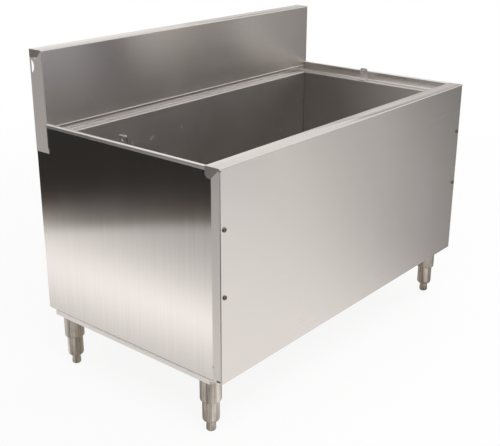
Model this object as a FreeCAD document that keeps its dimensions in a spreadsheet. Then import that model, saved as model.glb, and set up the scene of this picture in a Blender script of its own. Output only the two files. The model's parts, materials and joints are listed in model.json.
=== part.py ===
import FreeCAD, Part
import os
import re
import Sketcher

# An underbar beer bath: an insulated steel tub in a sheet cabinet on four levelling legs.
# Millimetres. Origin on the floor under the middle of the bath, X to the right, front towards -Y, Z up.

Vector = FreeCAD.Vector
Rotation = FreeCAD.Rotation

SIZES = (
    # Cabinet and sheet
    ("overall_width", 1067.0, "over the side faces"),
    ("overall_depth", 610.0, "from the screw heads to the rear edge"),
    ("cabinet_height", 508.0, "from the cabinet's lower edge to the rim"),
    ("sheet_thickness", 1.2, "thickness of every cabinet sheet"),
    ("bend_radius", 3.0, "outside radius of a folded edge"),
    ("panel_flange_width", 16.0, "inward flange of a side panel, rear and bottom"),
    ("panel_front_flange_width", 25.0, "inward flange of a side panel behind the apron"),
    ("back_recess", 3.0, "back panel's outer face in front of the rear edge"),
    ("panel_play", 0.3, "gap between the back panel and the side panels"),
    ("base_edge_inset", 4.0, "bottom panel's edge inside the cabinet's outline"),
    # Backsplash
    ("backsplash_rise", 178.0, "above the rim"),
    ("backsplash_depth", 45.0, "front face to rear edge"),
    ("backsplash_lap_height", 75.0, "end return below the rim"),
    ("backsplash_skirt_height", 40.0, "face below the rim, behind the rear rail"),
    ("backsplash_lip_height", 12.0, "turned-down rear edge of the top"),
    ("tongue_height", 20.0, "height of the tongue that closes an upper corner"),
    ("tongue_rear_height", 8.0, "straight rear edge of the tongue"),
    ("tongue_radius", 7.0, "radius of the tongue's lower corners"),
    ("lap_foot_width", 3.0, "how far the foot of an end return steps forward"),
    ("lap_foot_height", 12.0, "height of that step"),
    ("slot_height", 34.0, "half-moon slot in an end return"),
    ("slot_width", 10.0, "half-moon slot, chord to crown"),
    ("slot_margin", 5.0, "half-moon slot's chord to the rear edge"),
    ("slot_drop", 41.0, "half-moon slot's middle below the top"),
    ("seam_gap", 0.8, "open seam between two folded tabs"),
    # Front apron
    ("apron_ledge_depth", 42.0, "depth of the top ledge"),
    ("apron_return_depth", 25.0, "depth of a side return"),
    ("apron_hem_width", 12.0, "turned-in hem of the ledge and of the lower edge"),
    ("apron_hem_inset", 30.0, "hem's end inside the cabinet's outline"),
    ("end_tab_drop", 27.0, "height of the tab that closes the ledge's end"),
    ("end_tab_radius", 10.0, "radius of that tab's lower rear corner"),
    ("corner_relief_width", 4.0, "square relief at the folded corner"),
    ("corner_relief_drop", 4.0, "relief's top below the rim"),
    ("return_notch_width", 11.0, "notch at the foot of a return"),
    ("return_notch_height", 8.0, "notch at the foot of a return"),
    ("return_nick_radius", 2.2, "half-round nick in a return's rear edge"),
    ("return_nick_height", 38.0, "nick above the cabinet's lower edge"),
    ("screw_inset", 13.0, "apron screw from the side face"),
    ("screw_upper_drop", 137.0, "upper apron screw below the rim"),
    ("screw_lower_drop", 295.0, "lower apron screw below the rim"),
    ("screw_diameter", 5.0, "apron screw shank"),
    ("screw_head_diameter", 11.0, "apron screw head"),
    ("screw_head_height", 3.0, "apron screw head"),
    ("screw_head_radius", 1.6, "rounded edge of the head"),
    ("screw_socket_diameter", 4.2, "driver recess"),
    ("screw_socket_depth", 1.6, "driver recess"),
    ("screw_length", 14.0, "apron screw under its head"),
    ("screw_play", 0.3, "radial play of a fastener in a sheet"),
    ("clip_width", 16.0, "clip nut across"),
    ("clip_height", 14.0, "clip nut up"),
    ("clip_depth", 5.0, "clip nut behind the flange"),
    ("thread_play", 0.05, "radial play of a thread"),
    # Rim, ledges and liner
    ("rim_width", 8.0, "flat top of a side rim"),
    ("rim_lip_height", 10.0, "outer lip of a side rim"),
    ("lip_taper_height", 5.0, "lower part of that lip, which draws in"),
    ("lip_taper_depth", 0.35, "how far the lip's lower edge draws in"),
    ("ledge_drop", 26.0, "ledge below the rim"),
    ("ledge_width", 36.0, "side ledge"),
    ("rear_ledge_width", 26.0, "rear ledge"),
    ("rear_upstand_gap", 11.0, "top of the rear upstand below the rim"),
    ("rear_hem_height", 8.0, "folded hem on the rear upstand"),
    ("rail_setback", 6.0, "front rail behind the apron's face"),
    ("rail_flange_height", 20.0, "turned-down front of the front rail"),
    ("fold_gap", 2.5, "ledges' edges from the tub's walls, room for the tub's folds"),
    ("liner_thickness", 1.2, "thickness of the tub's sheet"),
    ("liner_flange_width", 18.0, "tub's flange on the ledges"),
    ("liner_radius", 12.0, "inside radius along the tub's floor"),
    ("wall_board_thickness", 25.0, "thickness of a wall's foam board"),
    ("floor_board_thickness", 25.0, "thickness of the floor's foam board"),
    # Lock tabs
    ("tab_setback", 320.0, "tab's middle behind the apron's face"),
    ("tab_wall_gap", 20.0, "tab's plate inside the rim's wall"),
    ("tab_thickness", 2.5, "thickness of a tab"),
    ("tab_width", 25.0, "width of a tab"),
    ("tab_height", 36.0, "height of a tab"),
    ("tab_foot_width", 16.0, "inward foot of a tab"),
    ("tab_radius", 6.0, "rounded upper corners of a tab"),
    ("tab_hole_diameter", 10.5, "eye of a tab"),
    ("tab_hole_drop", 11.0, "eye below the tab's top"),
    # Base channels
    ("channel_thickness", 2.0, "thickness of a base channel"),
    ("channel_bend_radius", 3.0, "outside radius of a base channel"),
    ("channel_width", 64.0, "across a base channel"),
    ("channel_flange_height", 11.5, "height of a base channel"),
    ("channel_front_setback", 28.0, "channel behind the apron's face"),
    ("channel_rear_setback", 25.0, "channel in front of the rear edge"),
    ("channel_cutback_length", 10.0, "outer flange shorter than the web in front"),
    ("tip_width", 14.0, "pointed corner tip of a channel"),
    ("tip_edge_height", 4.0, "straight side of the tip"),
    ("tip_depth", 12.0, "point of the tip below the web"),
    ("base_bolt_inset", 11.0, "base bolt from the side face"),
    ("base_bolt_near_offset", 70.0, "inner base bolts from the middle"),
    ("base_bolt_far_offset", 190.0, "outer base bolts from the middle"),
    ("base_bolt_diameter", 6.0, "base bolt shank"),
    ("base_bolt_flats_width", 10.0, "base bolt's head and nut over their flats"),
    ("base_bolt_head_height", 4.0, "head height"),
    ("base_bolt_end_length", 8.0, "shank above the side panel's flange"),
    ("base_nut_height", 5.0, "nut height"),
    # Rivets of the back panel
    ("rivet_diameter", 4.0, "shank"),
    ("rivet_head_diameter", 8.0, "head across"),
    ("rivet_head_height", 1.5, "head height"),
    ("rivet_head_radius", 1.0, "head's rounded edge"),
    ("rivet_tail_diameter", 6.0, "set tail across"),
    ("rivet_tail_height", 2.0, "set tail height"),
    ("rivet_inset", 10.0, "rivet from the side panel's outer face"),
    ("rivet_first_height", 12.0, "lowest rivet above the cabinet's lower edge"),
    ("rivet_pitch", 140.0, "between rivets"),
    # Legs
    ("leg_side_inset", 30.0, "leg's axis from the side face"),
    ("leg_front_inset", 60.0, "front leg's axis behind the apron's face"),
    ("leg_rear_inset", 60.0, "rear leg's axis in front of the rear edge"),
    ("socket_diameter", 52.0, "leg socket"),
    ("socket_length", 69.4, "leg socket"),
    ("socket_cap_thickness", 6.0, "closed top of a leg socket"),
    ("socket_edge_radius", 4.5, "rounded lower edge of a leg socket"),
    ("socket_seam_width", 1.6, "slit of the clamping socket"),
    ("socket_seam_angle", 202.0, "direction of the slit, from +X"),
    ("socket_play", 0.15, "radial play of a tube in its socket"),
    ("set_screw_diameter", 6.0, "socket's set screw"),
    ("set_screw_angle", 70.0, "direction of the set screw, from +X"),
    ("set_screw_drop", 28.0, "set screw below the socket's top"),
    ("set_screw_sink_depth", 0.5, "set screw's end below the socket's surface"),
    ("tube_diameter", 41.3, "leg tube"),
    ("tube_wall_thickness", 2.0, "leg tube"),
    ("tube_exposed_length", 57.0, "leg tube under its socket"),
    ("tube_insert_length", 54.0, "leg tube inside its socket"),
    ("tube_plug_length", 16.0, "threaded plug at the foot of a tube"),
    ("tube_shoulder_radius", 9.0, "rounded shoulder of a tube"),
    ("foot_diameter", 24.0, "bullet foot, at its widest"),
    ("foot_neck_diameter", 21.5, "bullet foot at its tube"),
    ("foot_belly_height", 10.0, "widest place of a bullet foot above the floor"),
    ("foot_exposed_length", 26.0, "bullet foot under its tube"),
    ("foot_edge_radius", 5.0, "rounded end of a bullet foot"),
    ("foot_stem_diameter", 16.0, "threaded stem of a bullet foot"),
    ("foot_stem_length", 58.0, "threaded stem of a bullet foot"),
    # Drain and overflow
    ("drain_side_inset", 78.0, "drain's axis from the tub's left wall"),
    ("drain_front_inset", 78.0, "drain's axis from the tub's front wall"),
    ("drain_flange_diameter", 76.0, "drain's flange on the tub's floor"),
    ("drain_flange_height", 3.0, "drain's flange"),
    ("drain_flange_radius", 1.5, "drain flange's edge"),
    ("drain_throat_diameter", 44.0, "drain's threaded throat"),
    ("drain_bore_diameter", 36.0, "drain's bore"),
    ("drain_drop", 22.0, "throat below the bottom panel"),
    ("drain_play", 0.5, "radial play of the throat in the tub's floor"),
    ("drain_clear_gap", 6.0, "radial room round the throat in the bottom panel"),
    ("drain_room_diameter", 96.0, "hole in the floor board round the lock nut"),
    ("gasket_diameter", 70.0, "drain gasket"),
    ("gasket_height", 2.0, "drain gasket"),
    ("locknut_flats_width", 60.0, "drain lock nut over its flats"),
    ("locknut_height", 10.0, "drain lock nut"),
    ("tail_diameter", 38.0, "tailpiece"),
    ("tail_wall_thickness", 1.5, "tailpiece"),
    ("tail_length", 62.0, "tailpiece"),
    ("tail_lip_height", 3.0, "height of the tailpiece's lip"),
    ("tail_neck_length", 8.0, "narrowed neck of the tailpiece inside the coupling nut"),
    ("tail_neck_depth", 0.4, "how much narrower the neck's radius is"),
    ("coupling_diameter", 57.0, "coupling nut"),
    ("coupling_grip_length", 10.0, "coupling nut on the throat"),
    ("coupling_floor_thickness", 3.0, "coupling nut's lower wall"),
    ("coupling_radius", 2.0, "coupling nut's edges"),
    ("pipe_diameter", 32.0, "overflow standpipe"),
    ("pipe_wall_thickness", 1.6, "overflow standpipe"),
    ("pipe_ledge_drop", 92.0, "standpipe's mouth below the ledge"),
    ("pipe_plug_play", 0.3, "radial play of the standpipe's plug in the drain"),
    ("pipe_plug_length", 25.0, "standpipe's plug in the drain"),
    ("pipe_collar_diameter", 50.0, "standpipe's collar"),
    ("pipe_collar_height", 10.0, "standpipe's collar"),
    ("pipe_collar_radius", 3.0, "standpipe collar's edge"),
    ("pipe_seal_thickness", 2.0, "seal under the standpipe's collar"),
)

PLACES = (
    ("half_width", "overall_width / 2"),
    ("front", "screw_head_height - overall_depth / 2"),
    ("rear", "overall_depth / 2"),
    ("socket_base", "foot_exposed_length + tube_exposed_length"),
    ("web_under", "socket_base + socket_length"),
    ("web_top", "web_under + channel_thickness"),
    ("cabinet_base", "web_top + sheet_thickness"),
    ("rim", "cabinet_base + cabinet_height"),
    ("rim_under", "rim - sheet_thickness"),
    ("splash_front", "rear - backsplash_depth"),
    ("splash_top", "rim + backsplash_rise"),
    ("panel_outer", "half_width - sheet_thickness"),
    ("panel_inner", "panel_outer - sheet_thickness"),
    ("panel_top", "rim_under - bend_radius"),
    ("bend_inner", "bend_radius - sheet_thickness"),
    ("back_outer", "rear - back_recess"),
    ("back_inner", "back_outer - sheet_thickness"),
    ("ledge_back", "front + apron_ledge_depth"),
    ("rim_inner", "half_width - rim_width"),
    ("ledge_top", "rim - ledge_drop"),
    ("ledge_under", "ledge_top - sheet_thickness"),
    ("liner_side", "rim_inner - ledge_width"),
    ("liner_back", "splash_front - rear_ledge_width"),
    ("liner_base", "cabinet_base + floor_board_thickness"),
    ("liner_floor", "liner_base + liner_thickness"),
    ("liner_top", "ledge_top + liner_thickness"),
    ("board_top", "ledge_top - bend_radius"),
    ("upstand_top", "rim - rear_upstand_gap"),
    ("channel_front", "front + channel_front_setback"),
    ("channel_rear", "rear - channel_rear_setback"),
    ("leg_side", "half_width - leg_side_inset"),
    ("leg_front", "front + leg_front_inset"),
    ("leg_rear", "rear - leg_rear_inset"),
    ("screw_side", "half_width - screw_inset"),
    ("screw_upper", "rim - screw_upper_drop"),
    ("screw_lower", "rim - screw_lower_drop"),
    ("bolt_side", "half_width - base_bolt_inset"),
    ("bolt_hole", "base_bolt_diameter / 2 + screw_play"),
    ("screw_hole", "screw_diameter / 2 + screw_play"),
    ("rivet_hole", "rivet_diameter / 2 + screw_play"),
    ("through_sheet", "3 * sheet_thickness"),
    ("rivet_side", "panel_outer - rivet_inset"),
    ("tab_middle", "front + tab_setback"),
    ("tab_outer", "rim_inner - tab_wall_gap"),
    ("tab_top", "liner_top + tab_height"),
    ("drain_x", "drain_side_inset + liner_thickness - liner_side"),
    ("drain_y", "ledge_back + liner_thickness + drain_front_inset"),
    ("drain_top", "liner_floor + drain_flange_height"),
    ("drain_end", "cabinet_base - sheet_thickness - drain_drop"),
    ("collar_base", "drain_top + pipe_seal_thickness"),
    ("slot_radius", "(slot_height ^ 2 / 4 + slot_width ^ 2) / (2 * slot_width)"),
)

SIZE_NAMES = [size[0] for size in SIZES]
PLACE_NAMES = [place[0] for place in PLACES]
SIDES = (("left", "-1"), ("right", "1"))
CORNERS = (
    ("front_left", "-leg_side", "leg_front"),
    ("front_right", "leg_side", "leg_front"),
    ("rear_left", "-leg_side", "leg_rear"),
    ("rear_right", "leg_side", "leg_rear"),
)
PLANE_AXES = {"XY_Plane": (0, 1), "XZ_Plane": (0, 2), "YZ_Plane": (1, 2)}
ACROSS_FLATS = "/ (2 * cos(30 deg))"
TOLERANCE = 1e-4

doc = FreeCAD.newDocument("UnderbarBeerBath")
sub_parts = []


# Sheet and bindings


def expand(formula):
    """Writes the owning sheet in front of every size and place that a formula names."""
    def owner(match):
        word = match.group()
        if word in SIZE_NAMES:
            return "Sizes." + word
        if word in PLACE_NAMES:
            return "Places." + word
        return word
    return re.sub(r"[a-z][a-z_]*", owner, formula)


def fill_sheets():
    """Puts the driving sizes in one sheet and the places worked out from them in another."""
    sizes = doc.addObject("Spreadsheet::Sheet", "Sizes")
    for row, (alias, value, note) in enumerate(SIZES, 1):
        sizes.set(f"A{row}", alias)
        sizes.set(f"B{row}", str(value))
        sizes.set(f"C{row}", note)
        sizes.setAlias(f"B{row}", alias)
    places = doc.addObject("Spreadsheet::Sheet", "Places")
    for row, (alias, formula) in enumerate(PLACES, 1):
        places.set(f"A{row}", alias)
        places.set(f"B{row}", "=" + expand(formula))
        places.setAlias(f"B{row}", alias)
    doc.recompute()
    return sizes, places


def value(alias):
    """Reads a size or a place as a plain number."""
    sheet = sizes_sheet if alias in SIZE_NAMES else places_sheet
    return float(sheet.get(alias))


def bind(thing, **formulas):
    """Binds properties to formulas; x, y and z stand for the base of the placement."""
    for name, formula in formulas.items():
        path = f"Placement.Base.{name}" if name in ("x", "y", "z") else name
        thing.setExpression(path, expand(formula))


def keep(thing, label):
    """Names a finished sub-part and puts it on the list that is written out."""
    thing.Label = label
    sub_parts.append(thing)
    return thing


# Primitives and booleans


def plate(name, x, y, z):
    """A box between two formulas along each axis."""
    box = doc.addObject("Part::Box", name)
    bind(box, x=x[0], y=y[0], z=z[0])
    bind(box, Length=f"{x[1]} - ({x[0]})", Width=f"{y[1]} - ({y[0]})", Height=f"{z[1]} - ({z[0]})")
    return box


def rod(name, radius, length, at, along=(0, 0, 1)):
    """A cylinder that starts at a point and runs along a direction."""
    cylinder = doc.addObject("Part::Cylinder", name)
    cylinder.Placement = FreeCAD.Placement(Vector(), Rotation(Vector(0, 0, 1), Vector(*along)))
    bind(cylinder, Radius=radius, Height=length, x=at[0], y=at[1], z=at[2])
    return cylinder


def hexagon(name, flats, height, at):
    """An upright hexagonal prism, measured over its flats."""
    prism = doc.addObject("Part::Prism", name)
    prism.Polygon = 6
    bind(prism, Circumradius=f"{flats} {ACROSS_FLATS}", Height=height, x=at[0], y=at[1], z=at[2])
    return prism


def fuse(name, pieces):
    """One solid, or several apart, from all the pieces."""
    if len(pieces) == 1:
        return pieces[0]
    union = doc.addObject("Part::MultiFuse", name)
    union.Shapes = pieces
    union.Refine = True
    return union


def cut(name, base, tools):
    """The base without the tools."""
    difference = doc.addObject("Part::Cut", name)
    difference.Base = base
    difference.Tool = fuse(name + "Tools", tools)
    difference.Refine = True
    return difference


def group(name, pieces):
    """Separate like solids in one object."""
    compound = doc.addObject("Part::Compound", name)
    compound.Links = pieces
    return compound


def straight_edges(shape, along, **where):
    """Numbers of the straight edges along an axis that lie at the given coordinates."""
    found = []
    for number, edge in enumerate(shape.Edges, 1):
        first, last = edge.Vertexes[0].Point, edge.Vertexes[-1].Point
        fixed = [axis for axis in "xyz" if axis != along]
        if any(abs(getattr(first, axis) - getattr(last, axis)) > TOLERANCE for axis in fixed):
            continue
        misses = [abs(getattr(first, axis) - at) for axis, at in where.items()]
        if edge.Length > TOLERANCE and max(misses) < TOLERANCE:
            found.append(number)
    return found


def round_edges(name, base, radius, numbers):
    """Rounds the numbered edges of a shape with a radius from the sheet."""
    doc.recompute()
    if not numbers:
        raise ValueError(f"{name} found no edge to round")
    rounded = doc.addObject("Part::Fillet", name)
    rounded.Base = base
    rounded.Edges = [(number, radius, radius) for number in numbers]
    return rounded


# Sketched bodies


def outline_sketch(body, plane, outline):
    """A closed outline whose corners are each held by two bound distances from the origin."""
    sketch = body.newObject("Sketcher::SketchObject", body.Name + "Outline")
    origin_plane = [feature for feature in body.Origin.OriginFeatures if feature.Role == plane][0]
    sketch.AttachmentSupport = [(origin_plane, "")]
    sketch.MapMode = "FlatFace"
    count = len(outline)
    for index in range(count):
        start = Vector(index, index * index, 0)
        step = index + 1
        end = Vector(step, step * step, 0) if step < count else Vector(0, 0, 0)
        sketch.addGeometry(Part.LineSegment(start, end), False)
    for index in range(count):
        sketch.addConstraint(Sketcher.Constraint("Coincident", index, 2, (index + 1) % count, 1))
    for index, corner in enumerate(outline):
        for kind, formula in zip(("DistanceX", "DistanceY"), corner):
            number = sketch.addConstraint(Sketcher.Constraint(kind, -1, 1, index, 1, float(index + 1)))
            sketch.setExpression(f"Constraints[{number}]", expand(formula))
    return sketch


def round_corners(body, feature, sketch, outline, matches):
    """Rounds the corners of an outline that name a radius, one fillet for each radius."""
    radii = []
    for corner in outline:
        if len(corner) > 2 and corner[2] not in radii:
            radii.append(corner[2])
    for order, radius in enumerate(radii):
        doc.recompute()
        points = [
            sketch.Geometry[index].StartPoint
            for index, corner in enumerate(outline)
            if len(corner) > 2 and corner[2] == radius
        ]
        edges = [
            f"Edge{number}"
            for number, edge in enumerate(feature.Shape.Edges, 1)
            if any(matches(edge, point) for point in points)
        ]
        if len(edges) < len(points):
            raise ValueError(f"{body.Name} found {len(edges)} of {len(points)} edges to round")
        fillet = body.newObject("PartDesign::Fillet", f"{body.Name}Round{order}")
        fillet.Base = (feature, edges)
        bind(fillet, Radius=radius)
        feature = fillet
    return feature


def pad_outline(name, plane, outline, length, reverse=False):
    """A constant section: corners are (u, v) or (u, v, radius) formulas in the plane's two axes."""
    body = doc.addObject("PartDesign::Body", name)
    sketch = outline_sketch(body, plane, outline)
    pad = body.newObject("PartDesign::Pad", name + "Pad")
    pad.Profile = sketch
    pad.Reversed = reverse
    bind(pad, Length=length)
    first_axis, second_axis = PLANE_AXES[plane]

    def along_pad(edge, point):
        return all(
            abs(vertex.Point[first_axis] - point.x) < TOLERANCE
            and abs(vertex.Point[second_axis] - point.y) < TOLERANCE
            for vertex in edge.Vertexes
        )

    body.Tip = round_corners(body, pad, sketch, outline, along_pad)
    return body


def turn_outline(name, outline, along=(0, 0, 1)):
    """A turned piece: corners are (radius, height) or (radius, height, rounding) formulas."""
    body = doc.addObject("PartDesign::Body", name)
    sketch = outline_sketch(body, "XZ_Plane", outline)
    turned = body.newObject("PartDesign::Revolution", name + "Turned")
    turned.Profile = sketch
    turned.ReferenceAxis = (sketch, ["V_Axis"])
    turned.Angle = 360.0

    def ring(edge, point):
        return all(
            abs(vertex.Point.z - point.y) < TOLERANCE
            and abs(abs(vertex.Point.x) - point.x) < TOLERANCE
            for vertex in edge.Vertexes
        ) and hasattr(edge.Curve, "Radius")

    body.Tip = round_corners(body, turned, sketch, outline, ring)
    body.Placement = FreeCAD.Placement(Vector(), Rotation(Vector(0, 0, 1), Vector(*along)))
    return body


# Cabinet


def apron_screw_places():
    """Side formula and height of each apron screw."""
    heights = ("screw_upper", "screw_lower")
    return [(f"{sign} * screw_side", height) for _, sign in SIDES for height in heights]


def rivet_places():
    """Side formula and height of each rivet of the back panel."""
    rows = range(4)
    return [(f"{sign} * rivet_side", f"cabinet_base + rivet_first_height + {row} * rivet_pitch")
            for _, sign in SIDES for row in rows]


def bolt_places(sign):
    """Side formula and depth of the base bolts under one side."""
    offsets = ("base_bolt_near_offset", "base_bolt_far_offset")
    return [(f"{sign} * bolt_side", way + offset) for way in ("-", "") for offset in offsets]


def sheet_range(sign, inner, outer):
    """Low and high formula of a sheet that stands between two distances on one side."""
    return (f"-({outer})", f"-({inner})") if sign == "-1" else (inner, outer)


def side_outline(name, sign, outline, inner):
    """An outline in the YZ plane, one sheet thick, standing on one side of the cabinet."""
    body = pad_outline(name, "YZ_Plane", outline, "sheet_thickness")
    bind(body, x=inner if sign == "1" else f"-({inner}) - sheet_thickness")
    return body


def make_front_apron():
    """Face, top ledge, side returns and closing tabs of the removable front."""
    full = ("-half_width", "half_width")
    hem = ("-half_width + apron_hem_inset", "half_width - apron_hem_inset")
    pieces = [
        plate("ApronFace", full, ("front", "front + sheet_thickness"), ("cabinet_base", "rim")),
        plate("ApronLedge", full, ("front", "ledge_back"), ("rim_under", "rim")),
        plate("ApronLedgeHem", hem, ("ledge_back - sheet_thickness", "ledge_back"),
              ("rim - apron_hem_width", "rim")),
        plate("ApronFootHem", hem, ("front", "front + apron_hem_width"),
              ("cabinet_base", "cabinet_base + sheet_thickness")),
    ]
    tools = []
    for side, sign in SIDES:
        tag = "Apron" + side.capitalize()
        pieces.append(side_outline(tag + "Return", sign, (
            ("front", "cabinet_base"),
            ("front + apron_return_depth", "cabinet_base"),
            ("front + apron_return_depth", "rim - apron_return_depth - seam_gap"),
            ("front", "rim - seam_gap"),
        ), "panel_outer"))
        pieces.append(side_outline(tag + "Tab", sign, (
            ("front + seam_gap", "rim"),
            ("ledge_back", "rim"),
            ("ledge_back", "rim - end_tab_drop", "end_tab_radius"),
            ("front + end_tab_drop + seam_gap", "rim - end_tab_drop"),
        ), "panel_outer"))
        relief = ("rim - corner_relief_drop - corner_relief_width", "rim - corner_relief_drop")
        across = sheet_range(sign, "half_width - corner_relief_width", "half_width + corner_relief_width")
        tools.append(plate(tag + "Relief", across,
                           ("front - corner_relief_width", "front + corner_relief_width"), relief))
        across = sheet_range(sign, "panel_outer - sheet_thickness", "half_width + sheet_thickness")
        tools.append(plate(tag + "Notch", across,
                           ("front + bend_radius", "front + bend_radius + return_notch_width"),
                           ("cabinet_base - sheet_thickness", "cabinet_base + return_notch_height")))
        start = "panel_outer - sheet_thickness" if sign == "1" else "-half_width - sheet_thickness"
        tools.append(rod(tag + "Nick", "return_nick_radius", "through_sheet",
                         (start, "front + apron_return_depth", "cabinet_base + return_nick_height"),
                         (1, 0, 0)))
    for index, (side, height) in enumerate(apron_screw_places()):
        tools.append(rod(f"ApronHole{index}", "screw_hole", "through_sheet",
                         (side, "front - sheet_thickness", height), (0, 1, 0)))
    pan = cut("ApronPan", fuse("ApronFolds", pieces), tools)
    doc.recompute()
    half, face, top = value("half_width"), value("front"), value("rim")
    radius = value("bend_radius")
    upper = round_edges("ApronUpperBend", pan, radius, straight_edges(pan.Shape, "x", y=face, z=top))
    doc.recompute()
    below_relief = top - value("corner_relief_drop") - value("corner_relief_width") + TOLERANCE
    corners = [number for at in (-half, half)
               for number in straight_edges(upper.Shape, "z", x=at, y=face)
               if upper.Shape.Edges[number - 1].BoundBox.ZMax < below_relief]
    keep(round_edges("ApronCornerBends", upper, radius, corners), "front_apron")


def make_side_panel(side, sign):
    """Outer side sheet with flanges for the apron, the back panel and the base, notched where they meet."""
    tag = "Side" + side.capitalize()
    wide = sheet_range(sign, "panel_outer - panel_flange_width", "panel_outer")
    pieces = [
        plate(tag + "Sheet", sheet_range(sign, "panel_inner", "panel_outer"),
              ("front + sheet_thickness", "rear"), ("cabinet_base", "panel_top")),
        plate(tag + "FrontFlange", sheet_range(sign, "panel_outer - panel_front_flange_width", "panel_outer"),
              ("front + sheet_thickness", "front + 2 * sheet_thickness"), ("cabinet_base", "panel_top")),
        plate(tag + "RearFlange", wide, ("back_inner - sheet_thickness", "back_inner"),
              ("cabinet_base", "panel_top")),
        plate(tag + "FootFlange", wide, ("front + sheet_thickness", "back_inner"),
              ("cabinet_base", "cabinet_base + sheet_thickness")),
    ]
    tools = [
        plate(tag + "Notch", sheet_range(sign, "panel_inner - sheet_thickness", "half_width"),
              ("front", "front + bend_radius + return_notch_width"),
              ("cabinet_base - sheet_thickness", "cabinet_base + return_notch_height")),
        rod(tag + "NickHole", "return_nick_radius", "through_sheet",
            ("panel_inner - sheet_thickness" if sign == "1" else "-half_width",
             "front + apron_return_depth", "cabinet_base + return_nick_height"), (1, 0, 0)),
    ]
    for index, height in enumerate(("screw_upper", "screw_lower")):
        tools.append(rod(f"{tag}ScrewHole{index}", "screw_hole", "through_sheet",
                         (f"{sign} * screw_side", "front", height), (0, 1, 0)))
    for index, (across, height) in enumerate(rivet_places()):
        if across.startswith(sign + " "):
            tools.append(rod(f"{tag}RivetHole{index}", "rivet_hole", "through_sheet",
                             (across, "back_inner - 2 * sheet_thickness", height), (0, 1, 0)))
    for index, (across, depth) in enumerate(bolt_places(sign)):
        tools.append(rod(f"{tag}BoltHole{index}", "bolt_hole", "through_sheet",
                         (across, depth, "cabinet_base - sheet_thickness")))
    pan = cut(tag + "Pan", fuse(tag + "Folds", pieces), tools)
    doc.recompute()
    foot = straight_edges(pan.Shape, "y", x=float(sign) * value("panel_outer"), z=value("cabinet_base"))
    keep(round_edges(tag + "FootBend", pan, value("bend_radius"), foot), f"side_panel_{side}")


def make_back_panel():
    """Flat sheet that closes the rear."""
    panel = plate("BackSheet", ("-panel_inner + panel_play", "panel_inner - panel_play"),
                  ("back_inner", "back_outer"), ("cabinet_base", "panel_top"))
    holes = [
        rod(f"BackHole{index}", "rivet_hole", "through_sheet",
            (across, "back_inner - sheet_thickness", height), (0, 1, 0))
        for index, (across, height) in enumerate(rivet_places())
    ]
    keep(cut("BackPanel", panel, holes), "back_panel")


def make_bottom_panel():
    """Flat sheet under the cabinet, between the side panels' flanges and the base channels."""
    panel = plate("BottomSheet", ("-half_width + base_edge_inset", "half_width - base_edge_inset"),
                  ("front + base_edge_inset", "back_outer"), ("web_top", "cabinet_base"))
    holes = [rod("BottomDrainHole", "drain_throat_diameter / 2 + drain_clear_gap", "through_sheet",
                 ("drain_x", "drain_y", "web_top - sheet_thickness"))]
    for side, sign in SIDES:
        for index, (across, depth) in enumerate(bolt_places(sign)):
            holes.append(rod(f"BottomBoltHole{side}{index}", "bolt_hole",
                             "through_sheet", (across, depth, "web_top - sheet_thickness")))
    keep(cut("BottomPanel", panel, holes), "bottom_panel")


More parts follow.
